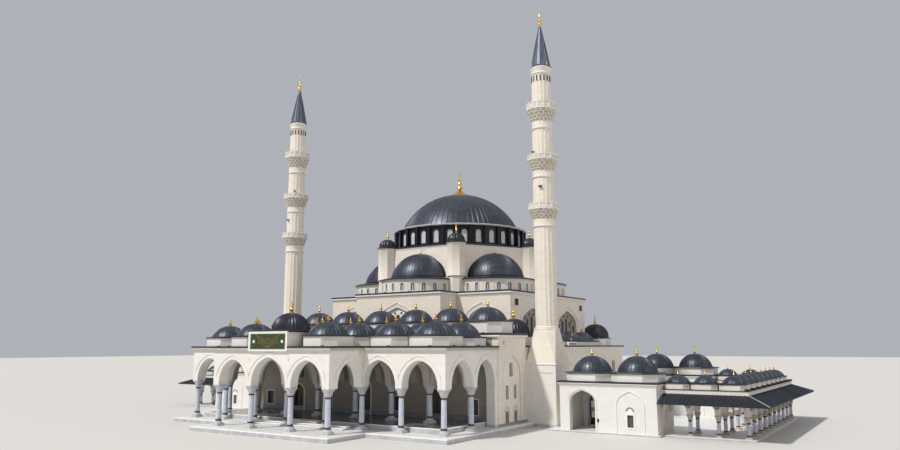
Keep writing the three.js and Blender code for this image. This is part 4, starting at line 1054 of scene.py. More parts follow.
def buildNarthexWalls():
    (y0, y1), t, x, top = body["narthexY"], body["thick"], body["x"], body["narthexRoof"] - narthex["slab"]
    s, foot, end = Shape(), body["plinth"], x - t - 0.0005
    place, doors = facing("front", y0), narthex["doors"]
    frames = [around(c, *narthex["pane"]) for c in bayMiddles[::2]]
    # the narthex front wall, deep inside the portico, is in the stone darkened as painted shade
    s.add(plate(passages(-end, end, foot, top, doors, 8), frames, 0, -t), "deepStone", place)
    for hole in frames:
        window(s, hole, place, "darkGlass", 0.06, 0.02)
    for centre, wide, springs, rise in doors:
        head = springs * 0.93
        s.add(plate(opening(centre, wide * 0.998, 0.19, springs, rise * 0.998, 10),
                    [frameOf(centre - wide * 0.4, centre - 0.012, 0.21, head),
                     frameOf(centre + 0.012, centre + wide * 0.4, 0.21, head)], -0.06, -0.09), "bronze",
              place)
        for a, b in ((-0.4, -0.012 / wide), (0.012 / wide, 0.4)):
            pane(s, frameOf(centre + a * wide, centre + b * wide, 0.21, head), place, 0.075)
        edging(s, opening(centre, wide, foot + 0.1, springs, rise, 10), place, 0.0, 0.035, 0.012)
    for centre in bayMiddles[1:6]:
        if centre:
            hole = around(centre, 0.11, 1.01, 1.27)
            s.add(plate(around(centre, 0.14, 0.98, 1.3), [hole], 0.012, -0.002), "bronze", place)
            s.add(plate(hole, (), 0.004, -0.002), "darkGlass", place)
            rosette(s, centre, 1.14, 0.07, 8, 0.008, "signGold", place)
    skirting(s, [(3.42, y0), (-3.42, y0)], 0.19, 0.1)
    lights, panes = [[make(*hole) for hole in narthex[kind]]
                     for make, kind in ((opening, "lights"), (frameOf, "darkPanes"))]
    recess, sink = opening(*narthex["recess"]), narthex["sink"]
    w, place = Shape(), facing("right", x)
    w.add(plate(frameOf(y0, y1, foot, top), [recess], 0, -sink), "hallStone", place)
    w.add(plate(frameOf(y0, y1, foot, top), lights + panes, -sink, -t), "hallStone", place)
    for hole in lights:
        window(w, hole, place @ raised(-sink), "blueGlass", 0.03, 0.02, "warmWhite")
    for centre in (2.25, 2.625):
        tympanum(w, centre, 0.12, 0.13, 0.38, place @ raised(-sink))
    edging(w, recess[1:] + recess[:1], place, 0.0, 0.03, 0.008)
    rosette(w, 2.12, 1.81, 0.045, 8, 0.012, "carvedTan", place)
    rosette(w, 2.12, 1.81, 0.024, 6, 0.018, "trimStone", place)
    skirting(w, [(x, y1), (x, y0)])
    s.joinBoth(w)
    fillet(s, [(x, 2.98), (x, y0), (-x, y0), (-x, 2.98)], *narthex["fillet"])
    s.make("narthexWalls", ["narthex_walls"], "stone")


def buildNarthexRear():
    y1, t, small = body["narthexY"][1], body["thick"], narthex["small"]
    top = body["narthexRoof"] - narthex["slab"]
    s, end, place = Shape(), body["x"] - t - 0.001, facing("front", y1 - t)
    arches = [(-2.85, *small), (-2.0, *small), (0.0, *narthex["wide"]), (2.0, *small), (2.85, *small)]
    s.add(plate(passages(-end, end, hall["foot"], top, arches), (), 0, -t), "hallStone", place)
    for centre, span, springs, rise in arches:
        archBand(s, (centre, span, rise), springs, place, span / 2 + 0.09, 0.0, 0.05)
    s.make("narthexRearArcade", ["narthex_rear_arcade"], "stone")


def buildNarthexRoof():
    (y0, y1), x, e, roof = body["narthexY"], body["x"], body["out"], body["narthexRoof"]
    s, domes = Shape(), [(c, narthex["domeY"]) for c in bayMiddles]
    outline = frameOf(-x - e, x + e, y0 - e, y1 + 0.02)
    vaulted(s, domes, outline, roof - narthex["slab"], roof, 0.36, 0.26, "trimStone")
    for i, (c, y) in enumerate(domes):
        drumAndDome(s, c, y, 0.478, 0.24, roof, 2.288 + 0.0015 * (i % 2), narthexDome)
        outlet(s, c + 0.15, y - 0.478, 2.018, 0)
    leadEdge(s, outline[::-1], 1.965, 2.016, 0.004, True)
    s.make("narthexRoof", ["narthex_roof"], "lead")


def buildAisleWalls():
    x, y1, head, foot = body["x"], body["backY"], body["aisleHead"], body["plinth"]
    s, place = Shape(), facing("right", x)
    windowWall(s, frameOf(3.111, y1, foot, head), body["windows"], place)
    for y in body["windows"]:
        hood = [(y - 0.15 + 0.3 * k / 8, 0.66 + 0.07 * sin(pi * k / 8)) for k in range(1, 8)]
        grooved(s, [(y - 0.15, 0.66), *hood, (y + 0.15, 0.66)], place)
        grooved(s, opening(y, 0.6, 0.12, 1.2, 0.3), place)
    wallEnds = [(x, y1), (x, 3.84)]
    skirting(s, wallEnds)
    fillet(s, wallEnds, 1.60, head, 0.03)
    s.makeBoth("aisleWall", ["aisle_wall"], "stone")


def buildRearWalls():
    x, t, y1, head, bx = body["x"], body["thick"], body["backY"], body["aisleHead"], hall["bumpX"]
    s, foot = Shape(), body["plinth"]
    windowWall(s, frameOf(-x + t + 0.001, -bx - 0.001, foot, head), (-2.1, -3.0), facing("back", y1))
    wallEnds = [(bx + 0.002, y1), (x - 0.002, y1)]
    fillet(s, wallEnds, 1.60, head, 0.03)
    skirting(s, wallEnds)
    s.makeBoth("rearWall", ["rear_wall"], "stone")


def buildAisleRoofs():
    a, s, x, y1, e, head = aisleTop, Shape(), body["x"], body["backY"], body["out"], body["aisleHead"]
    m, hx, (h0, h1), bx, g, o = body["middleY"], hall["x"], hall["y"], hall["bumpX"], 0.0005, e - 0.002
    outline = [(bx + g, 3.131), (x - 0.001, 3.131), (x - 0.001, 3.831), (x + o, 3.831), (x + o, y1 + o),
               (bx + g, y1 + o), (bx + g, h1 + g), (hx + g, h1 + g), (hx + g, h0 - g), (bx + g, h0 - g)]
    s.add(solid(outline, head, roofEdge[0]), "trimStone")
    s.add(solid(outline, roofEdge[0], body["eave"]), "leadFlat")
    leadEdge(s, [(bx + g, y1), (x, y1), (x, 3.832)], *roofEdge, e)
    for spot in a["ribbed"]:
        s.add(solid(cutSquare(*spot, 0.382, a["corner"]), 1.73, a["drumTop"]), "trimStone")
        s.add(solid(cutSquare(*spot, 0.3845, a["corner"]), a["drumTop"], a["domeFoot"]), "leadFlat")
        s.add(lathe(ballCurve(0.366, a["domeFoot"], 0.40, 10), lobes(28), 0.016), "ribbedLead", at(*spot))
        finial(s, *spot, 2.35, 2.66, 0.032)
    for edge, low, high, finish in ((0, body["eave"], a["tierHead"], "trimStone"),
                                    (a["edge"], a["tierHead"], tierDome["base"], "leadFlat")):
        front = a["tierY"] - edge
        s.add(solid(frameOf(hx + 0.001, a["tierX"] + edge, front, 2 * m - front), low, high), finish)
    for k in range(4):
        dome(s, 3.2, m - 1.2 + 0.8 * k, tierDome)
    dome(s, 3.45, m, {**tierDome, "radius": 0.14, "rise": 0.12, "tip": 2.1, "seams": 16, "knob": 0.018})
    s.add(block(3.57, 3.64, *a["vent"], 1.744, 1.832, 0.008), "chalkStone")
    for start, end in a["slots"]:
        s.add(block(3.6395, 3.6425, start, end, 1.766, 1.806), "ironwork")
    s.makeBoth("aisleRoof", ["aisle_roof"], "lead")


for buildPart in (buildNarthexWalls, buildNarthexRear, buildNarthexRoof, buildAisleWalls, buildRearWalls,
                  buildAisleRoofs):
    buildPart()
print("narthex and aisles are built")


# hall

hallArches = {"front": (0.0, 2.0, 0.75, 0.6), "shoulder": (2.08, 0.9, 0.95, 0.5), "side": (1.16, 0.85, 0.6),
              "sideAt": (-1.4, 0, 1.4)}
hallWindows = {"front": (0.0, 1.0, 1.8, 2.3, 0.41), "shoulder": (2.06, 0.84, 1.8, 2.3, 0.39),
               "side": (1.2, 1.86, 2.25, 0.44), "sideAt": (-1.05, 1.05)}


def tracery(shape, hole, light, place, lights, look):  # arched lights under small rounds
    centre, span, sill, springs, rise = light
    pitch, back, holes = span / lights, 0.05, []

    def rising(c, reach):  # how near c is to the middle, and how high the arch lets it rise
        share = 1 - abs(c - centre) / (span / 2)
        return share, springs + rise * (share ** 0.6) * reach

    for k in range(lights):
        c = centre - span / 2 + pitch * (k + 0.5)
        holes.append(around(c, pitch * 0.27, sill + 0.02, sill + 0.10))
        holes.append(roundOpening(c, pitch * 0.54, sill + 0.125, rising(c, 0.66)[1] - pitch * 0.5))
    for k in range(1, lights):
        c = centre - span / 2 + pitch * k
        share, z = rising(c, 0.72)
        if share > 0.25:
            holes.append(circle(c, z, pitch * 0.17, 12))
    shape.add(plate(offsetIn(hole, 0.001), holes, -back, -back - 0.03), look, place)
    pane(shape, offsetIn(hole, 0.002), place, back + 0.02, "darkGlass", 0.01)


def offsetIn(loop, d):
    u, v = (sum(p[k] for p in loop) / len(loop) for k in (0, 1))
    far = [max(0.05, hypot(x - u, y - v)) for x, y in loop]
    return [(x + (u - x) * d / q, y + (v - y) * d / q) for (x, y), q in zip(loop, far)]


def hexPlan(r):
    return [(r * sin(pi / 6 + i * pi / 3), body["middleY"] - r * cos(pi / 6 + i * pi / 3)) for i in range(6)]


def archWall(shape, start, end, ways, windows, place, lights, look="chalkStone"):
    holes = [opening(*light, 14) for light in windows]
    outline = passages(start, end, hall["foot"], hall["head"], ways)
    shape.add(plate(outline, holes, 0, -body["thick"]), "hallStone", place)
    for hole, light in zip(holes, windows):
        centre, span, _, springs, rise = light
        tracery(shape, hole, light, place, lights, look)
        archBand(shape, (centre, span, rise), springs, place, span / 2 + 0.16, 0.07, 0.035)


def buildHallEnds():
    bx, b0, hx, h0 = hall["bumpX"], hall["bumpY"][0], hall["x"], hall["y"][0]
    t, foot, head, m = body["thick"], hall["foot"], hall["head"], body["middleY"]
    for rear in (False, True):
        s, w = Shape(), Shape()
        archWall(s, -bx, bx, [hallArches["front"]], [hallWindows["front"]], facing("front", b0), 5)
        archWall(w, bx + 0.0005, hx, [hallArches["shoulder"]], [hallWindows["shoulder"]],
                 facing("front", h0), 4)
        w.add(block(bx - t, bx, b0 + t, h0 + t, foot, head), "hallStone")
        s.joinBoth(w)
        path = [(hx, h0 + 0.14), (hx, h0), (bx, h0), (bx, b0), (-bx, b0), (-bx, h0), (-hx, h0),
                (-hx, h0 + 0.14)]
        fillet(s, path, 2.965, head + 0.005, 0.03)
        if rear:
            s.add(plate(around(0, 1.02, foot, 1.4), (), 0.01, -t), "hallStone", facing("front", b0))
            back = Shape().join(s, Matrix.Translation((0, 2 * m, 0)) @ Matrix.Scale(-1, 4, (0, 1, 0)))
            back.make("hallRearWall", ["hall_rear_wall"], "stone")
        else:
            s.make("hallFrontWall", ["hall_front_wall"], "stone")


def buildHallSides():
    (h0, h1), hx, t, head, m = hall["y"], hall["x"], body["thick"], hall["head"], body["middleY"]
    s, place, start, end = Shape(), facing("right", hx), h0 + t + 0.001, h1 - t - 0.001
    ways, lights = [[(m + off, *kind["side"]) for off in kind["sideAt"]]
                    for kind in (hallArches, hallWindows)]
    # the side tracery is in the stone darkened as painted shade, for the shaded sides of the hall
    archWall(s, start, end, ways, lights, place, 5, "deepStone")
    for c in (m - 1.95, m + 1.95):
        s.add(plate(around(c, 0.09, 2.72, 2.88), (), 0.012, -0.002), "ironwork", place)
        edging(s, around(c, 0.09, 2.72, 2.88), place, 0.0, 0.012, 0.016)
    fillet(s, [(hx, end), (hx, start)], 2.965, head + 0.005, 0.03)
    s.makeBoth("hallSideWall", ["hall_side_wall"], "stone")


def buildHallRoof():
    bx, (b0, b1), hx, (h0, h1), m = hall["bumpX"], hall["bumpY"], hall["x"], hall["y"], body["middleY"]
    s, o = Shape(), 0.04
    half = [(bx + o, b0 - o), (bx + o, h0 - o), (hx + o, h0 - o), (hx + o, h1 + o), (bx + o, h1 + o),
            (bx + o, b1 + o)]
    plan = [(-bx - o, b0 - o), *half, *[(-px, py) for px, py in half[:0:-1]]]
    hole, lead = hexPlan(hall["hexagon"]), hall["lead"]
    s.add(plate(plan, [hole], lead, hall["head"]), "trimStone")
    s.add(plate(plan, [hole], hall["roof"], lead), "leadFlat")
    leadEdge(s, plan[::-1], lead, hall["roof"] + 0.004, 0.002, True)
    for i in range(6):
        t0 = i * pi / 3
        c = Vector((1.966 * sin(t0), -1.966 * cos(t0)))
        for k in range(-3, 4):
            a = t0 + k * 0.36
            x, y = c.x + 1.1 * sin(a), m + c.y - 1.1 * cos(a)
            if inside(plan, x, y):
                s.add(block(-0.03, 0.03, -0.03, 0.03, 3.09, 3.108, 0.006), "leadFlat", at(x, y, 0, a))
    s.make("hallRoof", ["hall_roof"], "lead")


def inside(plan, x, y):
    hit = False
    for (x0, y0), (x1, y1) in zip(plan, plan[1:] + plan[:1]):
        if (y0 > y) != (y1 > y) and x < (x1 - x0) * (y - y0) / (y1 - y0) + x0:
            hit = not hit
    return hit


for buildPart in (buildHallEnds, buildHallSides, buildHallRoof):
    buildPart()
print("hall is built")


# hexagon, half domes, window drum and main dome

crown = {"y": body["middleY"], "radius": 2.27, "foot": 3.09, "top": 4.4, "thick": 0.17, "archSpan": 1.56,
         "archSpring": 3.5, "archApex": 4.165, "turret": 0.25, "turretEave": 4.415}
exedra = {"rim": 1.03, "eave": 3.455, "dome": 0.78, "rise": 0.66, "step": 16, "sill": 3.125, "head": 3.31}
drum = {"radius": 1.86, "foot": 4.4, "sill": 4.485, "head": 4.83, "count": 30, "eave": 4.95, "top": 5.02}
bigDome = {"radius": 1.69, "apex": 6.11, "seams": 72,
           "collar": [(0.29, 6.06), (0.285, 6.085), (0.25, 6.115), (0.19, 6.15), (0.13, 6.19), (0.085, 6.225),
                      (0.06, 6.25), (0.0, 6.25)],
           "knobs": [(0.05, 6.24), (0.03, 6.27), (0.078, 6.30), (0.092, 6.335), (0.078, 6.37), (0.03, 6.40),
                     (0.022, 6.42), (0.055, 6.44), (0.066, 6.47), (0.055, 6.5), (0.02, 6.525), (0.016, 6.55),
                     (0.042, 6.57), (0.048, 6.595), (0.042, 6.62), (0.014, 6.64), (0.011, 6.7), (0.026, 6.72),
                     (0.028, 6.74), (0.01, 6.765), (0.008, 6.9), (0.0, 7.045)]}


def buildHexagon():
    c, s = crown, Shape()
    flat = c["radius"] * cos(pi / 6)
    half = c["radius"] / 2 - 0.06
    rise, foot, top = c["archApex"] - c["archSpring"], c["foot"], c["top"]
    outline = passages(-half, half, foot, top - 0.03, [(0, c["archSpan"], c["archSpring"], rise)], 18)
    for i in range(6):
        face = outward(i * pi / 3, flat, 0.0, c["y"])
        s.add(plate(outline, (), 0, -c["thick"]), "hallStone", face)
        archBand(s, (0.0, c["archSpan"], rise), c["archSpring"], face, 0.86, 0.0, 0.03, "leadFlat")
    hole = circle(0, c["y"], 1.66, 48)
    s.add(plate(hexPlan(c["radius"] - 0.004), [hole], top - 0.03, top - 0.1), "hallStone")
    s.add(plate(hexPlan(c["radius"] + 0.03), [hole], top, top - 0.032), "leadFlat")
    fillet(s, hexPlan(c["radius"] - 0.004)[::-1], top - 0.09, top - 0.03, 0.022, True)
    r, eave = c["turret"], c["turretEave"]
    for i, (x, y) in enumerate(hexPlan(c["radius"])):
        turn = pi / 6 + i * pi / 3
        rays = [(turn + pi / 8 + 2 * pi * k / 8, 0.0) for k in range(8)]
        s.add(lathe([(r * 0.9, foot), (r * 0.9, 3.495), (r * 0.98, 3.505), (r * 1.04, 3.52),
                     (r * 1.04, 3.535), (r, 3.55),
                     *profile([(1.0, -0.075), (1.04, -0.06), (1.09, -0.03), (0.9, -0.03)], 0, eave, r)],
                    rays),
              "hallStone", at(x, y))
        s.add(lathe(profile([(0.9, -0.03), (1.13, -0.03), (1.15, -0.01), (1.05, 0.006), (0.9, 0.01)], 0,
                            eave, r),
                    rays), "leadFlat", at(x, y))
        s.add(lathe(ballCurve(r * 0.9, eave, 0.245, 9), lobes(12, 8), 0.014), "ribbedLead", at(x, y))
        finial(s, x, y, eave + 0.225, eave + 0.56, 0.026)
    s.make("domeBase", ["dome_base"], "pale_stone")


def buildHalfDomes():
    e, c = exedra, crown
    flat, rim, eave, foot = c["radius"] * cos(pi / 6), e["rim"], e["eave"], c["foot"]
    reach = radians(e["step"] / 2)
    wide, deep = 2 * rim * sin(reach), rim * cos(reach)
    wall = frameOf(-wide / 2, wide / 2, foot, eave - 0.04)
    hole = roundOpening(0, 0.105, e["sill"], e["head"] - 0.03, 10)
    for i, name in enumerate(["front", "front_right", "rear_right", "rear", "rear_left", "front_left"]):
        t, s = i * pi / 3, Shape()
        middle = (flat * sin(t), c["y"] - flat * cos(t))
        here = at(*middle)
        for k in range(-6, 6):
            a = t + (k + 0.5) * 2 * reach
            if abs(a - t) > pi / 2 + reach:
                continue
            place = outward(a, deep, *middle)
            real = abs(k + 0.5) < 5
            s.add(plate(wall, [hole] if real else (), 0, -0.07), "hallStone", place)
            if real:
                pane(s, hole, place, 0.02, "blueGlass")
                edging(s, hole, place, 0.0, 0.018, 0.008, "chalkStone")
                grooved(s, [(0, e["sill"]), (0, e["head"] + 0.01)], place @ raised(-0.018), 0.012, 0.008,
                        "chalkStone")
            grooved(s, [(-wide / 2, foot), (-wide / 2, eave - 0.04)], place, 0.006, 0.002, "hallStone")
        rays = [(t + radians(-92 + 184 * k / 46), 0.0) for k in range(47)]
        for steps, finish in (([(-0.02, -0.06), (0.012, -0.055), (0.03, -0.035), (-0.02, -0.03)],
                               "trimStone"),
                              ([(-0.02, -0.034), (0.05, -0.034), (0.055, -0.008), (0.03, 0.004)],
                               "leadFlat")):
            curve = profile(steps, rim, eave)
            if finish == "leadFlat":
                curve.append((e["dome"] + 0.02, eave + 0.055))
            s.add(lathe(curve, rays, fan=True), finish, here)
        s.add(lathe(profile([(0.012, 0.05), (0.02, 0.075), (0.002, 0.082)], e["dome"], eave), rays, fan=True),
              "leadFlat", here)
        middles = [t + radians(-90 + 180 * k / 32) for k in range(33)]
        ribs = [(a + way * 0.007, 1.0 - abs(way)) for a in middles for way in (-1, 0, 1)]
        s.add(lathe([(e["dome"] + 0.022, eave + 0.05), *ballCurve(e["dome"], eave + 0.06, e["rise"], 12)],
                    ribs, 0.007, True), "lead", here)
        s.make("halfDome" + "".join(w.title() for w in name.split("_")), ["half_dome_" + name], "lead")


def buildDrum():
    d, s, step = drum, Shape(), 2 * pi / drum["count"]
    r, foot, eave, here = d["radius"], d["foot"], d["eave"], at(0, crown["y"])
    deep, wide = r * cos(step / 2), 2 * r * sin(step / 2)
    hole = roundOpening(0, 0.15, d["sill"], d["head"] - 0.075, 10)
    for k in range(d["count"]):
        a = k * step
        place = outward(a, deep, 0.0, crown["y"])
        s.add(plate(frameOf(-wide / 2, wide / 2, foot, eave), [hole], 0, -0.1), "drumLead", place)
        pane(s, hole, place, 0.012, "paleGlass")
        edging(s, hole, place, 0.0, 0.012, 0.006, "leadFlat")
        s.add(block(-0.045, 0.045, foot, eave, -0.03, 0.055, 0.012), "drumLead",
              outward(a + step / 2, r, 0.0, crown["y"]))
    s.add(lathe(profile([(-0.05, -0.001), (0.085, -0.001), (0.085, 0.02), (-0.02, 0.045)], r, foot),
                spokes(90)),
          "leadFlat", here)
    rays = [(2 * pi * k / 240, abs(sin(15 * 2 * pi * k / 240))) for k in range(240)]
    s.add(lathe(profile([(-0.05, -0.012), (0.045, -0.012), (0.055, 0.008), (0.05, 0.034), (-0.02, 0.042)],
                        r, eave),
                rays, 0.03), "zincGrey", here)
    s.add(lathe([(r - 0.02, eave + 0.04), (bigDome["radius"] + 0.02, d["top"] + 0.004),
                 (bigDome["radius"] - 0.1, d["top"])], spokes(90)), "lead", here)
    s.make("windowDrum", ["window_drum"], "stone")


def buildMainDome():
    b, s, r, base, here = bigDome, Shape(), bigDome["radius"], drum["top"], at(0, crown["y"])
    curve = ballCurve(r, base + 0.002, b["apex"] - base, 26)
    s.add(lathe([(r + 0.02, base), (r + 0.012, base + 0.02), *curve], seams(b["seams"], 0.006), 0.008),
          "lead", here)
    s.add(inward(lathe(ballCurve(r - 0.1, base, b["apex"] - base - 0.1, 10), spokes(48))), "paleStone", here)
    s.add(lathe(b["collar"], lobes(12), 0.02), "gold", here)
    s.add(lathe(b["knobs"], spokes(24)), "gold", here)
    s.make("mainDome", ["main_dome"], "lead")


for buildPart in (buildHexagon, buildHalfDomes, buildDrum, buildMainDome):
    buildPart()
print("domes are built")


# minarets

minaret = {"x": 4.02, "y": 3.47, "half": 0.36, "panelEdge": 0.075, "flutes": 16, "sides": 16,
           "brackets": 16, "rows": 4,
           "radii": (0.25, 0.243, 0.235, 0.226), "foot": 2.13, "head": 8.13, "octagon": 0.262,
           "boxes": ((5.35, 0.25), (5.35, 0.1), (6.2, -0.6)), "slots": (16, 0.032, 7.93, 8.06),
           "spire": [(0.235, 8.29), (0.24, 8.3), (0.24, 8.325), (0.225, 8.34), (0.21, 8.42), (0.165, 8.66),
                     (0.115, 8.92), (0.062, 9.18), (0.03, 9.36), (0.0, 9.4)],
           "knobs": [(0.036, 9.34), (0.04, 9.36), (0.02, 9.385), (0.042, 9.41), (0.05, 9.435), (0.042, 9.46),
                     (0.015, 9.485), (0.03, 9.51), (0.034, 9.53), (0.03, 9.55), (0.012, 9.57), (0.022, 9.59),
                     (0.024, 9.605), (0.02, 9.625), (0.009, 9.65), (0.007, 9.8), (0.0, 9.935)]}
balconies = [{"ring": 4.46, "corbel": 4.60, "floor": 4.84, "top": 4.98},
             {"ring": 5.62, "corbel": 5.74, "floor": 6.01, "top": 6.13},
             {"ring": 6.79, "corbel": 6.93, "floor": 7.23, "top": 7.39}]


def flutes(count, steps=6):
    return [(2 * pi * k / (count * steps), -abs(sin(pi * k / steps)) if k % steps else 0.0)
            for k in range(count * steps)]


def buildMinaretBase(here):
    m, s, h = minaret, Shape(), minaret["half"]
    s.add(block(-h + 0.012, h - 0.012, -h + 0.012, h - 0.012, 0.0, 1.2), "paleStone", here)
    square, panel = frameOf(-h, h, -h, h), frameOf(-h + m["panelEdge"], h - m["panelEdge"], 0.14, 1.165)
    for turn in range(4):
        side = here @ Matrix.Rotation(turn * pi / 2, 4, "Z") @ facing("front", -h)
        w = h - 0.0155 * (turn % 2)
        s.add(plate(frameOf(-w, w, 0.0, 1.336), [panel], 0, -0.015), "paleStone", side)
        edging(s, panel, side @ raised(-0.006), -0.012, 0.012, 0.003)
    s.add(trim(square[::-1], [(-0.02, 0.0), (0.01, 0.0), (0.01, 0.06), (0.004, 0.066), (-0.02, 0.066)], True),
          "plinthGrey", here)
    s.add(trim(square[::-1], [(-0.02, 1.318), (0.0, 1.318), (0.014, 1.33), (0.014, 1.346), (0.0, 1.36),
                              (-0.02, 1.362)], True), "trimStone", here)
    s.add(solid(square, 1.336, 1.362), "hallStone", here)
    flat = [(pi / 8 + pi * k / 4, 0.0) for k in range(8)]
    r = m["octagon"] / cos(pi / 8)
    corners = [(h, h, 1.36), (-h, h, 1.36), (-h, -h, 1.36), (h, -h, 1.36)]
    faces = []
    for k in range(4):  # from the square to the octagon
        now, after, before = 4 + 2 * k, 4 + (2 * k + 1) % 8, 4 + (2 * k + 7) % 8
        faces += [(k, after, now), (k, now, before), ((k + 3) % 4, k, before)]
    s.add((corners + [(r * cos(a), r * sin(a), 2.1) for a, _ in flat], faces), "hallStone", here)
    s.add(lathe([(0.275, 2.085), (0.288, 2.095), (0.29, 2.12), (0.278, 2.132), (0.25, 2.134)], flat),
          "trimStone", here)
    s.makeBoth("minaretBase", ["minaret_base"], "stone")


def balcony(s, r, b, here):  # a ring, rows of brackets and a parapet with panels
    m, f, top = minaret, b["floor"], b["top"]
    rows, n, sides = m["rows"], m["brackets"], m["sides"]
    s.add(lathe(profile([(-0.004, -0.03), (0.018, -0.02), (0.018, 0.004), (-0.004, 0.014)], r, b["ring"]),
                spokes(48)),
          "trimStone", here)
    s.add(lathe([(r, b["ring"]), (r, b["corbel"] + 0.02)], spokes(48)), "hallStone", here)
    tall = (f - b["corbel"]) / rows
    for row in range(rows):
        inner, outer = r + (0.34 - r) * row / rows, r + (0.345 - r) * (row + 1) / rows
        z, phase = b["corbel"] + tall * row, pi / n if row % 2 else 0.0
        rays = [(phase + 2 * pi * k / (n * 8), -abs(cos(pi * k / 8)) ** 1.5) for k in range(n * 8)]
        s.add(lathe([(inner - 0.015, z - 0.004), (outer - 0.004, z + tall * 0.66), (outer, z + tall * 0.8)],
                    rays, 0.03 + 0.004 * row), "carvedCream", here)
        s.add(lathe([(outer, z + tall * 0.8), (outer + 0.004, z + tall * 0.86), (outer + 0.004, z + tall),
                     (inner - 0.015, z + tall)], spokes(64)), "carvedCream", here)
        cell = outer - 0.004
        for k in range(n):
            a = phase + 2 * pi * (k + 0.5) / n
            s.add(bar((cell * 0.93 * sin(a), -cell * 0.93 * cos(a), z + tall * 0.02),
                      (cell * sin(a), -cell * cos(a), z + tall * 0.8), 0.014, 0.012), "trimStone", here)
    rays = [(pi / sides + 2 * pi * k / sides, 0.0) for k in range(sides)]
    for curve, finish in (
            ([(0.3, f - 0.012), (0.352, f - 0.012), (0.362, f), (0.362, f + 0.02), (0.352, f + 0.026)],
             "trimStone"),
            ([(0.35, f + 0.02), (0.35, top - 0.02), (0.334, top - 0.02), (0.334, f + 0.03), (r, f + 0.03)],
             "hallStone"),
            (profile([(0.33, -0.024), (0.36, -0.024), (0.365, -0.016), (0.365, -0.004), (0.358, 0),
                      (0.33, 0)], 0, top),
             "trimStone")):
        s.add(lathe(curve, rays), finish, here)
    reach, wide = 0.35 * cos(pi / sides), 2 * 0.35 * sin(pi / sides)
    for k in range(sides):
        a = 2 * pi * k / sides
        side = here @ outward(a, reach)
        edging(s, frameOf(-wide * 0.36, wide * 0.36, f + 0.038, top - 0.036), side, -0.006, 0.012, 0.006)
        rosette(s, 0, (f + top) / 2, min(wide * 0.24, (top - f) * 0.26), 6, 0.006, "carvedCream", side)
        post = here @ Matrix.Rotation(a + pi / sides, 4, "Z")
        s.add(block(-0.011, 0.011, -0.364, -0.335, f + 0.02, top + 0.012, 0.005), "trimStone", post)


def buildMinaretShaft(here):
    m, s, start = minaret, Shape(), minaret["foot"]
    for i, r in enumerate(m["radii"]):
        b = balconies[i] if i < len(balconies) else None
        end = b["ring"] - 0.02 if b else m["head"]
        s.add(lathe([(r, start), (r, start + 0.05), (r * 0.995, end - 0.05), (r, end)], flutes(m["flutes"]),
                    0.011),
              "hallStone", here)
        s.add(lathe(profile([(0.004, -0.004), (0.016, 0.006), (0.016, 0.026), (0, 0.04)], r, start),
                    spokes(48)),
              "trimStone", here)
        if b:
            balcony(s, r, b, here)
            s.add(plate(roundOpening(0, 0.1, b["floor"] + 0.04, b["floor"] + 0.24, 8), (), 0.004, -0.01),
                  "darkGlass", here @ Matrix.Rotation(pi, 4, "Z") @ facing("front", -m["radii"][i + 1]))
            start = b["floor"] + 0.03
    s.add(lathe([(r, 8.11), (r + 0.012, 8.125), (r + 0.012, 8.15), (r, 8.16), (r * 1.02, 8.2),
                 (r * 1.1, 8.235), (r * 1.14, 8.27), (r, 8.3)], spokes(48)), "trimStone", here)
    count, *slot = m["slots"]
    for k in range(count):
        s.add(plate(roundOpening(0, *slot, 6), (), 0.006, -0.01), "darkGlass",
              here @ outward(2 * pi * k / count, r * 0.985))
    for z, a in m["boxes"]:
        s.add(block(-0.02, 0.02, -r - 0.06, -r, z, z + 0.03, 0.006), "ironwork",
              here @ Matrix.Rotation(a, 4, "Z"))
    s.makeBoth("minaretShaft", ["minaret_shaft"], "stone")


def buildMinaretSpire(here):
    s = Shape().add(lathe(minaret["spire"], seams(16, 0.03), 0.01), "spireLead", here)
    s.add(lathe(minaret["knobs"], spokes(16)), "gold", here)
    s.makeBoth("minaretSpire", ["minaret_spire"], "lead")


for buildPart in (buildMinaretBase, buildMinaretShaft, buildMinaretSpire):
    buildPart(at(minaret["x"], minaret["y"]))
print("minarets are built")


# side courts: each wing is drawn on the right, and the left-hand one is mirrored at the end

gate = {"x": 4.67, "y": (2.67, 3.72), "top": 1.022, "wall": 0.12, "span": 0.557, "apex": 0.846,
        "springs": 0.6, "floor": 0.03, "drum": 1.2, "tip": 1.745, "way": 5.165, "window": (0.147, 0.387)}
leaf = {"y": 3.7385, "hinge": gate["way"] - gate["span"] / 2 + 0.0077, "knuckles": (0.14, 0.52),
        "notch": 0.0185, "bars": 7}
gallery = {"pitch": 0.53, "y": 3.0, "count": 9, "spring": 0.43, "head": 0.88, "roof": 0.9,
           "eave": 1.018, "half": 0.05, "skirtOut": 0.424, "skirtLow": 0.655, "skirtHigh": 0.815}
rightWing = {"name": "right", "end": 6.71, "x": 8.3, "bays": 3, "domes": (5.2, 6.18), "frontWay": 5.165,
             "backWay": 5.165, "frontWindow": 6.17, "backWindow": 6.17}
leftWing = {"name": "left", "end": 6.19, "x": 7.25, "bays": 2, "domes": (5.43,), "frontWay": None,
            "backWay": 5.43, "frontWindow": 5.35, "backWindow": None}
farY = gallery["y"] + gallery["count"] * gallery["pitch"]
courtMiddle = (gallery["y"] + farY) / 2
turned = Matrix.Translation((0, 2 * courtMiddle, 0)) @ Matrix.Scale(-1, 4, (0, 1, 0))


def makeWing(shape, wing, name, node, slot):
    side = wing["name"]
    whole = shape if side == "right" else Shape().join(shape, flip)
    whole.make(name + side.title(), [node + "_" + side], slot)


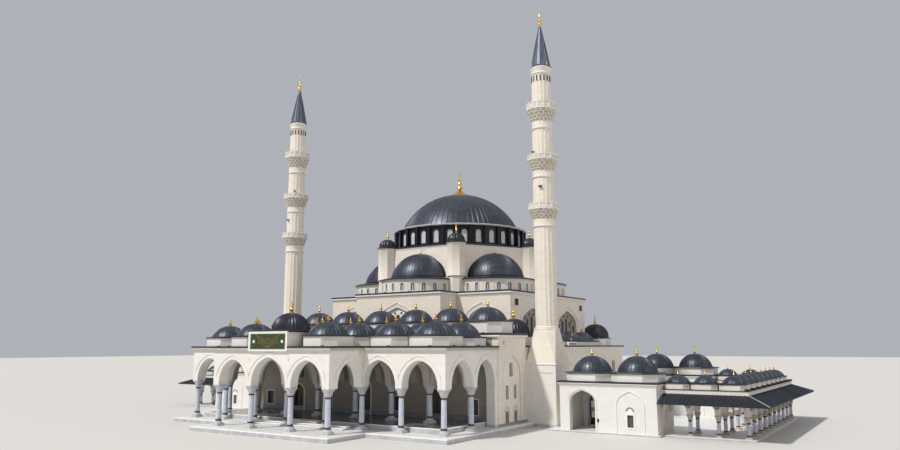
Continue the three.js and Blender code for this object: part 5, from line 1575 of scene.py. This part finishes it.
def blindArch(s, low, face):  # a dark window below a white fan, in an arch drawn by a thin line
    foot, hole = gate["floor"], around(low, 0.065, *gate["window"])
    grooved(s, [(low - 0.285, foot), (low - 0.285, 0.55), *archCurve(low, 0.57, 0.555, 0.297, 14),
                (low + 0.285, 0.55), (low + 0.285, foot)], face, 0.028, 0.016)
    pane(s, hole, face, 0.03, "latticePane")
    edging(s, hole, face, 0.0, 0.026, 0.01, "warmWhite")
    s.add(plate(roundOpening(low, 0.185, 0.412, 0.455, 12), (), 0.010, -0.004), "warmWhite", face)
    fan, z = face @ raised(0.008), 0.455
    rim = [(low + 0.076 * cos(pi * i / 12), z + 0.076 * sin(pi * i / 12)) for i in range(13)]
    grooved(s, rim, fan, 0.022, 0.006, "leadFlat")
    for i in range(5):
        a = pi * (i + 0.5) / 5
        grooved(s, [(low + r * cos(a), z + r * sin(a)) for r in (0.045, 0.072)], fan, 0.009, 0.005,
                "leadFlat")


def gateWalls(wing):
    g, s = gate, Shape()
    x0, x1, (y0, y1), t, head = g["x"], wing["end"], g["y"], g["wall"], g["top"] - 0.05
    rise = g["apex"] - g["springs"]
    for y, side, sense, way, low in ((y0, "front", 1, wing["frontWay"], wing["frontWindow"]),
                                     (y1, "back", -1, wing["backWay"], wing["backWindow"])):
        ways = [(way, g["span"], g["springs"], rise)] if way else []
        holes = [around(low, 0.065, *g["window"])] if low else []
        s.add(plate(passages(x0, x1, g["floor"], head, ways, 14), holes, 0, -t), "gateStone",
              facing("front", y if side == "front" else y - t))
        face = facing(side, y)
        if way:
            archBand(s, (sense * way, g["span"], rise), g["springs"], face, 0.36, 0.0, 0.034)
            for e in (-1, 1):
                jamb = sense * way + e * (g["span"] / 2 + 0.0178)
                s.add(plate(around(jamb, 0.017, g["floor"], g["springs"]), (), 0.016, -0.004), "trimStone",
                      face)
            s.add(plate(around(sense * (way + 0.335), 0.012, 0.225, 0.285), (), 0.02, -0.002), "ironwork",
                  face)
        if low:
            blindArch(s, sense * low, face)
    for x in (x0, x1 - t):
        s.add(block(x, x + t, y0 + t, y1 - t, g["floor"], head), "hallStone")
    fillet(s, frameOf(x0, x1, y0, y1)[::-1], head - 0.055, head - 0.004, 0.024, True)
    return s


def gateRoof(wing):
    g, s = gate, Shape()
    x0, x1, (y0, y1) = g["x"], wing["end"], g["y"]
    middle, head, o = (y0 + y1) / 2, g["top"] - 0.05, 0.04
    outline = frameOf(x0 - o, x1 + o, y0 - o, y1 + o)
    vaulted(s, [(x, middle) for x in wing["domes"]], outline, head, g["top"], 0.35, 0.2, "trimStone")
    look = {"radius": 0.4, "base": 1.213, "rise": 0.32, "tip": g["tip"], "seams": 34, "knob": 0.028}
    for i, x in enumerate(wing["domes"]):
        drumAndDome(s, x, middle, 0.485, 0.24, g["top"], g["drum"] + 0.0015 * i, look)
    leadEdge(s, outline[::-1], g["top"] - 0.038, g["top"] + 0.003, 0.003, True)
    return s


def buildGates(wing):
    g = gate
    walls = gateWalls(wing)
    front = Shape().join(walls)
    if wing is rightWing:
        for x, way in ((leaf["hinge"], 1), (2 * g["way"] - leaf["hinge"], -1)):
            for z in leaf["knuckles"]:
                a, b = sorted((x - way * 0.023, x + way * 0.0077))
                arm = block(a, b, g["y"][1] - 0.002, leaf["y"] + 0.0077, z, z + 0.0092, 0.002)
                front.add(arm, "ironwork")
    makeWing(front, wing, "gatehouse", "gatehouse", "pale_stone")
    makeWing(gateRoof(wing), wing, "gatehouseRoof", "gatehouse_roof", "lead")
    rear = Shape().join(Shape().join(walls).join(gateRoof(wing)), turned)
    makeWing(rear, wing, "rearGatehouse", "rear_gatehouse", "pale_stone")


def buildLeaves():
    g, hinge, bars = gate, leaf["hinge"], leaf["bars"]
    inner, edge, foot = hinge - 0.00615, g["way"] - 0.0046, g["floor"] + 0.0123
    curve = archCurve(edge, 2 * (edge - inner), g["springs"] - 0.02, g["apex"] - g["springs"], 14)[:15]
    shell = [(inner, foot)]
    for z in leaf["knuckles"]:
        notch = hinge + leaf["notch"]
        shell += [(inner, z - 0.001), (notch, z - 0.001), (notch, z + 0.0102), (inner, z + 0.0102)]
    shell += curve + [(edge, foot)]
    start, end = hinge + 0.024, edge - 0.018
    pitch, holes = (end - start) / bars, []
    for k in range(bars):
        a, b = start + pitch * k + 0.004, start + pitch * (k + 1) - 0.004
        top = np.interp((a + b) / 2 - 0.006, [p[0] for p in curve], [p[1] for p in curve]) - 0.045
        holes += [frameOf(a, b, 0.2, 0.355), frameOf(a, b, 0.372, max(0.40, min(top, 0.76)))]
    s = Shape().add(plate(shell, holes, 0.0042, -0.0042), "ironwork", facing("back", leaf["y"]) @ flip)
    for side in (-1, 1):
        face = facing("front", leaf["y"]) @ Matrix.Scale(side, 4, (0, 0, 1)) @ raised(0.004)
        edging(s, frameOf(start + 0.01, end - 0.01, 0.06, 0.125), face, 0.0, 0.006, 0.003, "bronze")
        rosette(s, (start + end) / 2, 0.092, 0.022, 8, 0.003, "bronze", face)
    other = Shape().join(s, Matrix.Translation((2 * g["way"], 0, 0)) @ flip)
    s.make("gateLeafInner", ["gate_leaf_inner"], "iron", "leaf_inner")
    other.make("gateLeafOuter", ["gate_leaf_outer"], "iron", "leaf_outer")


galleryColumn = {"foot": 0.03, "neck": 0.33, "top": 0.43, "shaft": 0.036, "cap": 0.062, "base": 0.055}


def arcadeRing(wing, x, y, far, bays, sideBays):  # one ring of the covered walk: front, side and rear arcades
    g, p, h = gallery, gallery["pitch"], gallery["half"]
    grey = column(galleryColumn, "shaftMarble", "carvedTan", 16)

    def wall(along, start, end, centres, line):
        s = Shape()
        arches = [(c, 0.44, 0.3) for c in centres]
        s.add(plate(comb(start, end, g["spring"], g["head"], arches, 10), (), h, -h), "galleryStone",
              facing(along, line))
        for arch in arches:
            archBand(s, arch, g["spring"], facing(along, line - h if along == "front" else line + h), 0.255,
                     0.0, 0.022)
        return s

    front = wall("front", wing["end"] + 0.001, x + h, [x - p * (i + 0.5) for i in range(bays)][::-1], y)
    for i in range(1, bays):
        front.join(grey, at(x - p * i, y))
    s = Shape().join(front).join(front, turned)
    s.join(wall("right", y + h, far - h, [y + p * (i + 0.5) for i in range(sideBays)], x))
    for i in range(sideBays + 1):
        s.join(grey, at(x, y + p * i))
    return s


def struts(s, wing):  # slender props below the sloping roof
    g, h = gallery, gallery["half"]
    x, y, p = wing["x"], g["y"], g["pitch"]
    ends = [((x + h, y + p * i), (x + h + 0.26, y + p * i + lean)) for i in range(g["count"] + 1)
            for lean in (-0.14, 0.14)]
    ends += [((x - p * i, line), (x - p * i + lean, line + way * 0.26)) for i in range(1, wing["bays"] + 1)
             for line, way in ((y - h, -1), (farY + h, 1)) for lean in (-0.14, 0.14)
             if i < wing["bays"] or lean > 0]
    for low, high in ends:
        s.add(bar((*low, 0.55), (*high, 0.70), 0.013, 0.013), "strutGrey")


def galleryRoof(wing):
    g, s = gallery, Shape()
    p, h, n = g["pitch"], g["half"], g["count"]
    ox, oy, rx = wing["x"], g["y"], wing["end"] + 0.041
    ix, iy = ox - p, oy + p

    def plan(o):
        return [(rx, oy - o), (ox + o, oy - o), (ox + o, farY + o), (rx, farY + o), (rx, farY - p - o),
                (ix - o, farY - p - o), (ix - o, iy + o), (rx, iy + o)]

    s.add(solid(plan(h), g["head"], g["roof"] - 0.012), "galleryStone")
    s.add(solid(plan(h + 0.01), g["roof"] - 0.012, g["roof"]), "leadFlat")
    domes = [(ix - p * (i + 0.5), oy + p / 2) for i in range(wing["bays"] - 1)]
    domes += [(x, 2 * courtMiddle - y) for x, y in domes]
    domes += [(ox - p / 2, oy + p * (i + 0.5)) for i in range(n)]
    look = {"radius": 0.222, "base": g["eave"] + 0.008, "rise": 0.14, "tip": 1.29, "seams": 20, "rows": 6,
            "seam": 0.016, "lift": 0.005, "knob": 0.016}
    for x, y in domes:
        s.add(solid(cutSquare(x, y, 0.25, 0.1), g["roof"], g["eave"] - 0.016), "galleryStone")
        s.add(solid(cutSquare(x, y, 0.264, 0.1), g["eave"] - 0.016, g["eave"] + 0.0055), "leadFlat")
        dome(s, x, y, look)
    bx, by, out, lo, hi = ox + h, oy - h, g["skirtOut"], g["skirtLow"], g["skirtHigh"]
    path = [(rx, farY + h), (bx, farY + h), (bx, by), (rx, by)]
    slope = [(0.001, hi), (out, lo), (out + 0.004, lo - 0.004), (out, lo - 0.022), (out - 0.02, lo - 0.02),
             (0.001, hi - 0.035)]
    s.add(trim(path, slope), "slate")

    def seamAt(a, b):
        s.add(bar(a, b, 0.005, 0.009), "slateSeam")

    for i in range(int((farY + h - by) / 0.08)):
        y = by + 0.04 + i * 0.08
        seamAt((bx + 0.005, y, hi + 0.004), (bx + out, y, lo + 0.004))
    for line, way in ((by, -1), (farY + h, 1)):
        for i in range(1, int((bx - rx) / 0.08) + 1):
            x = bx - i * 0.08
            seamAt((x, line + way * 0.005, hi + 0.004), (x, line + way * out, lo + 0.004))
        s.add(bar((bx, line, hi + 0.006), (bx + out, line + way * out, lo + 0.006), 0.012, 0.012), "zincGrey")
        for k in range(1, 6):
            a, z = out * k / 6, hi - (hi - lo) * k / 6 + 0.004
            seamAt((bx + a, line + way * a, z), (bx + a, line + way * out, lo + 0.004))
            seamAt((bx + a, line + way * a, z), (bx + out, line + way * a, lo + 0.004))
    for i in range(n + 1):
        y = oy + p * i
        s.add(block(ox - p / 2 + 0.24, bx + 0.03, y - 0.03, y + 0.03, 0.902, 0.935, 0.006), "ironwork")
    return s


for wing in (rightWing, leftWing):
    buildGates(wing)
    outer = arcadeRing(wing, wing["x"], gallery["y"], farY, wing["bays"], gallery["count"])
    struts(outer, wing)
    makeWing(outer, wing, "galleryOuterArcade", "gallery_outer_arcade", "pale_stone")
    inner = arcadeRing(wing, wing["x"] - gallery["pitch"], gallery["y"] + gallery["pitch"],
                       farY - gallery["pitch"], wing["bays"] - 1, gallery["count"] - 2)
    makeWing(inner, wing, "galleryInnerArcade", "gallery_inner_arcade", "pale_stone")
    makeWing(galleryRoof(wing), wing, "galleryRoof", "gallery_roof", "lead")
buildLeaves()
print("side courts are built")


# floors, steps and paving

terrace = {"half": [(1.95, -1.42), (1.95, -0.39), (3.87, -0.39), (3.87, 3.1095), (3.66, 3.1095), (3.66, 9.2)],
           "slab": 0.07, "top": 0.0895}
porticoPaving = {"half": 3.42, "top": 0.19, "back": 1.8595, "border": 0.06, "foot": 0.09, "step": 0.033}


def buildStylobate():
    s, low, top = Shape(), terrace["slab"], terrace["top"]
    plan = [(-x, y) for x, y in terrace["half"]][::-1]
    plan = plan[3:] + terrace["half"] + plan[:3]
    s.add(solid(plan, 0.0, low), "greyPaving")
    within = [(x * (1 - 0.002 / abs(x)), y + (0.002 if y < 0 else -0.002)) for x, y in plan]
    s.add(solid(within, low, top), "courtPaving")
    s.add(trim(plan[::-1], [(-0.06, 0.0885), (-0.06, 0.0902), (-0.004, 0.0902), (0.0, 0.087), (0.0, low)],
               True), "chalkStone")
    s.make("stylobate", ["stylobate"], "floor_stone")


def buildPorticoFloor():
    f, s = porticoPaving, Shape()
    g, top, back, foot, inner = f["half"], f["top"], f["back"], f["foot"], f["half"] - f["border"]
    # the inner paving is darkened as painted shade under the portico roof
    s.add(block(-inner, inner, 0.19, back, foot, top - 0.002), "hallPaving")
    for x0, x1, y0, y1, steps in ((-g, g, 0.13, 0.19, 0), (-g, -inner, 0.19, back, 0),
                                  (inner, g, 0.19, back, 0), (-0.42, 0.42, -0.11, 0.13, 0),
                                  (-1.35, 1.35, -0.22, -0.11, 1), (-1.35, 1.35, -0.33, -0.22, 2)):
        z = top - steps * f["step"]
        s.add(block(x0, x1, y0, y1, foot, z - 0.012), "greyPaving")
        s.add(block(x0, x1, y0, y1, z - 0.012, z, 0.004), "chalkStone")
    s.make("porticoFloor", ["portico_floor"], "floor_stone")


def buildHallFloor():
    s, x = Shape(), 3.66 - 0.1405
    # the hall floor uses the same paving, darkened as painted shade
    s.add(plate(frameOf(-x, x, 2.0015, 9.0595), (), 0.19, 0.09), "hallPaving")
    s.add(block(-1.325, 1.325, 9.0595, 9.139, 0.09, 0.19), "hallPaving")
    s.make("hallFloor", ["hall_floor"], "floor_stone")


court = {"base": (4.3805, 3.8305), "wall": 3.6605, "front": 2.62, "edge": 0.15, "gateEdge": 0.05}


def buildCourtFloors():
    (bx, by), wall, y0, edge = court["base"], court["wall"], court["front"], court["edge"]
    y1, oy, far = 2 * courtMiddle - y0, gallery["y"] - edge, farY + edge
    for wing in (rightWing, leftWing):
        s, end, ox = Shape(), wing["end"] + court["gateEdge"], wing["x"] + edge
        plan = [(bx, y0), (end, y0), (end, oy), (ox, oy), (ox, far), (end, far), (end, y1), (wall, y1),
                (wall, by), (bx, by)]
        s.add(solid(plan, 0.0, 0.022), "greyPaving")
        s.add(solid(plan, 0.022, 0.03), "courtPaving")
        makeWing(s, wing, "courtFloor", "court_floor", "floor_stone")


for buildPart in (buildStylobate, buildPorticoFloor, buildHallFloor, buildCourtFloors):
    buildPart()
print("floors are built")
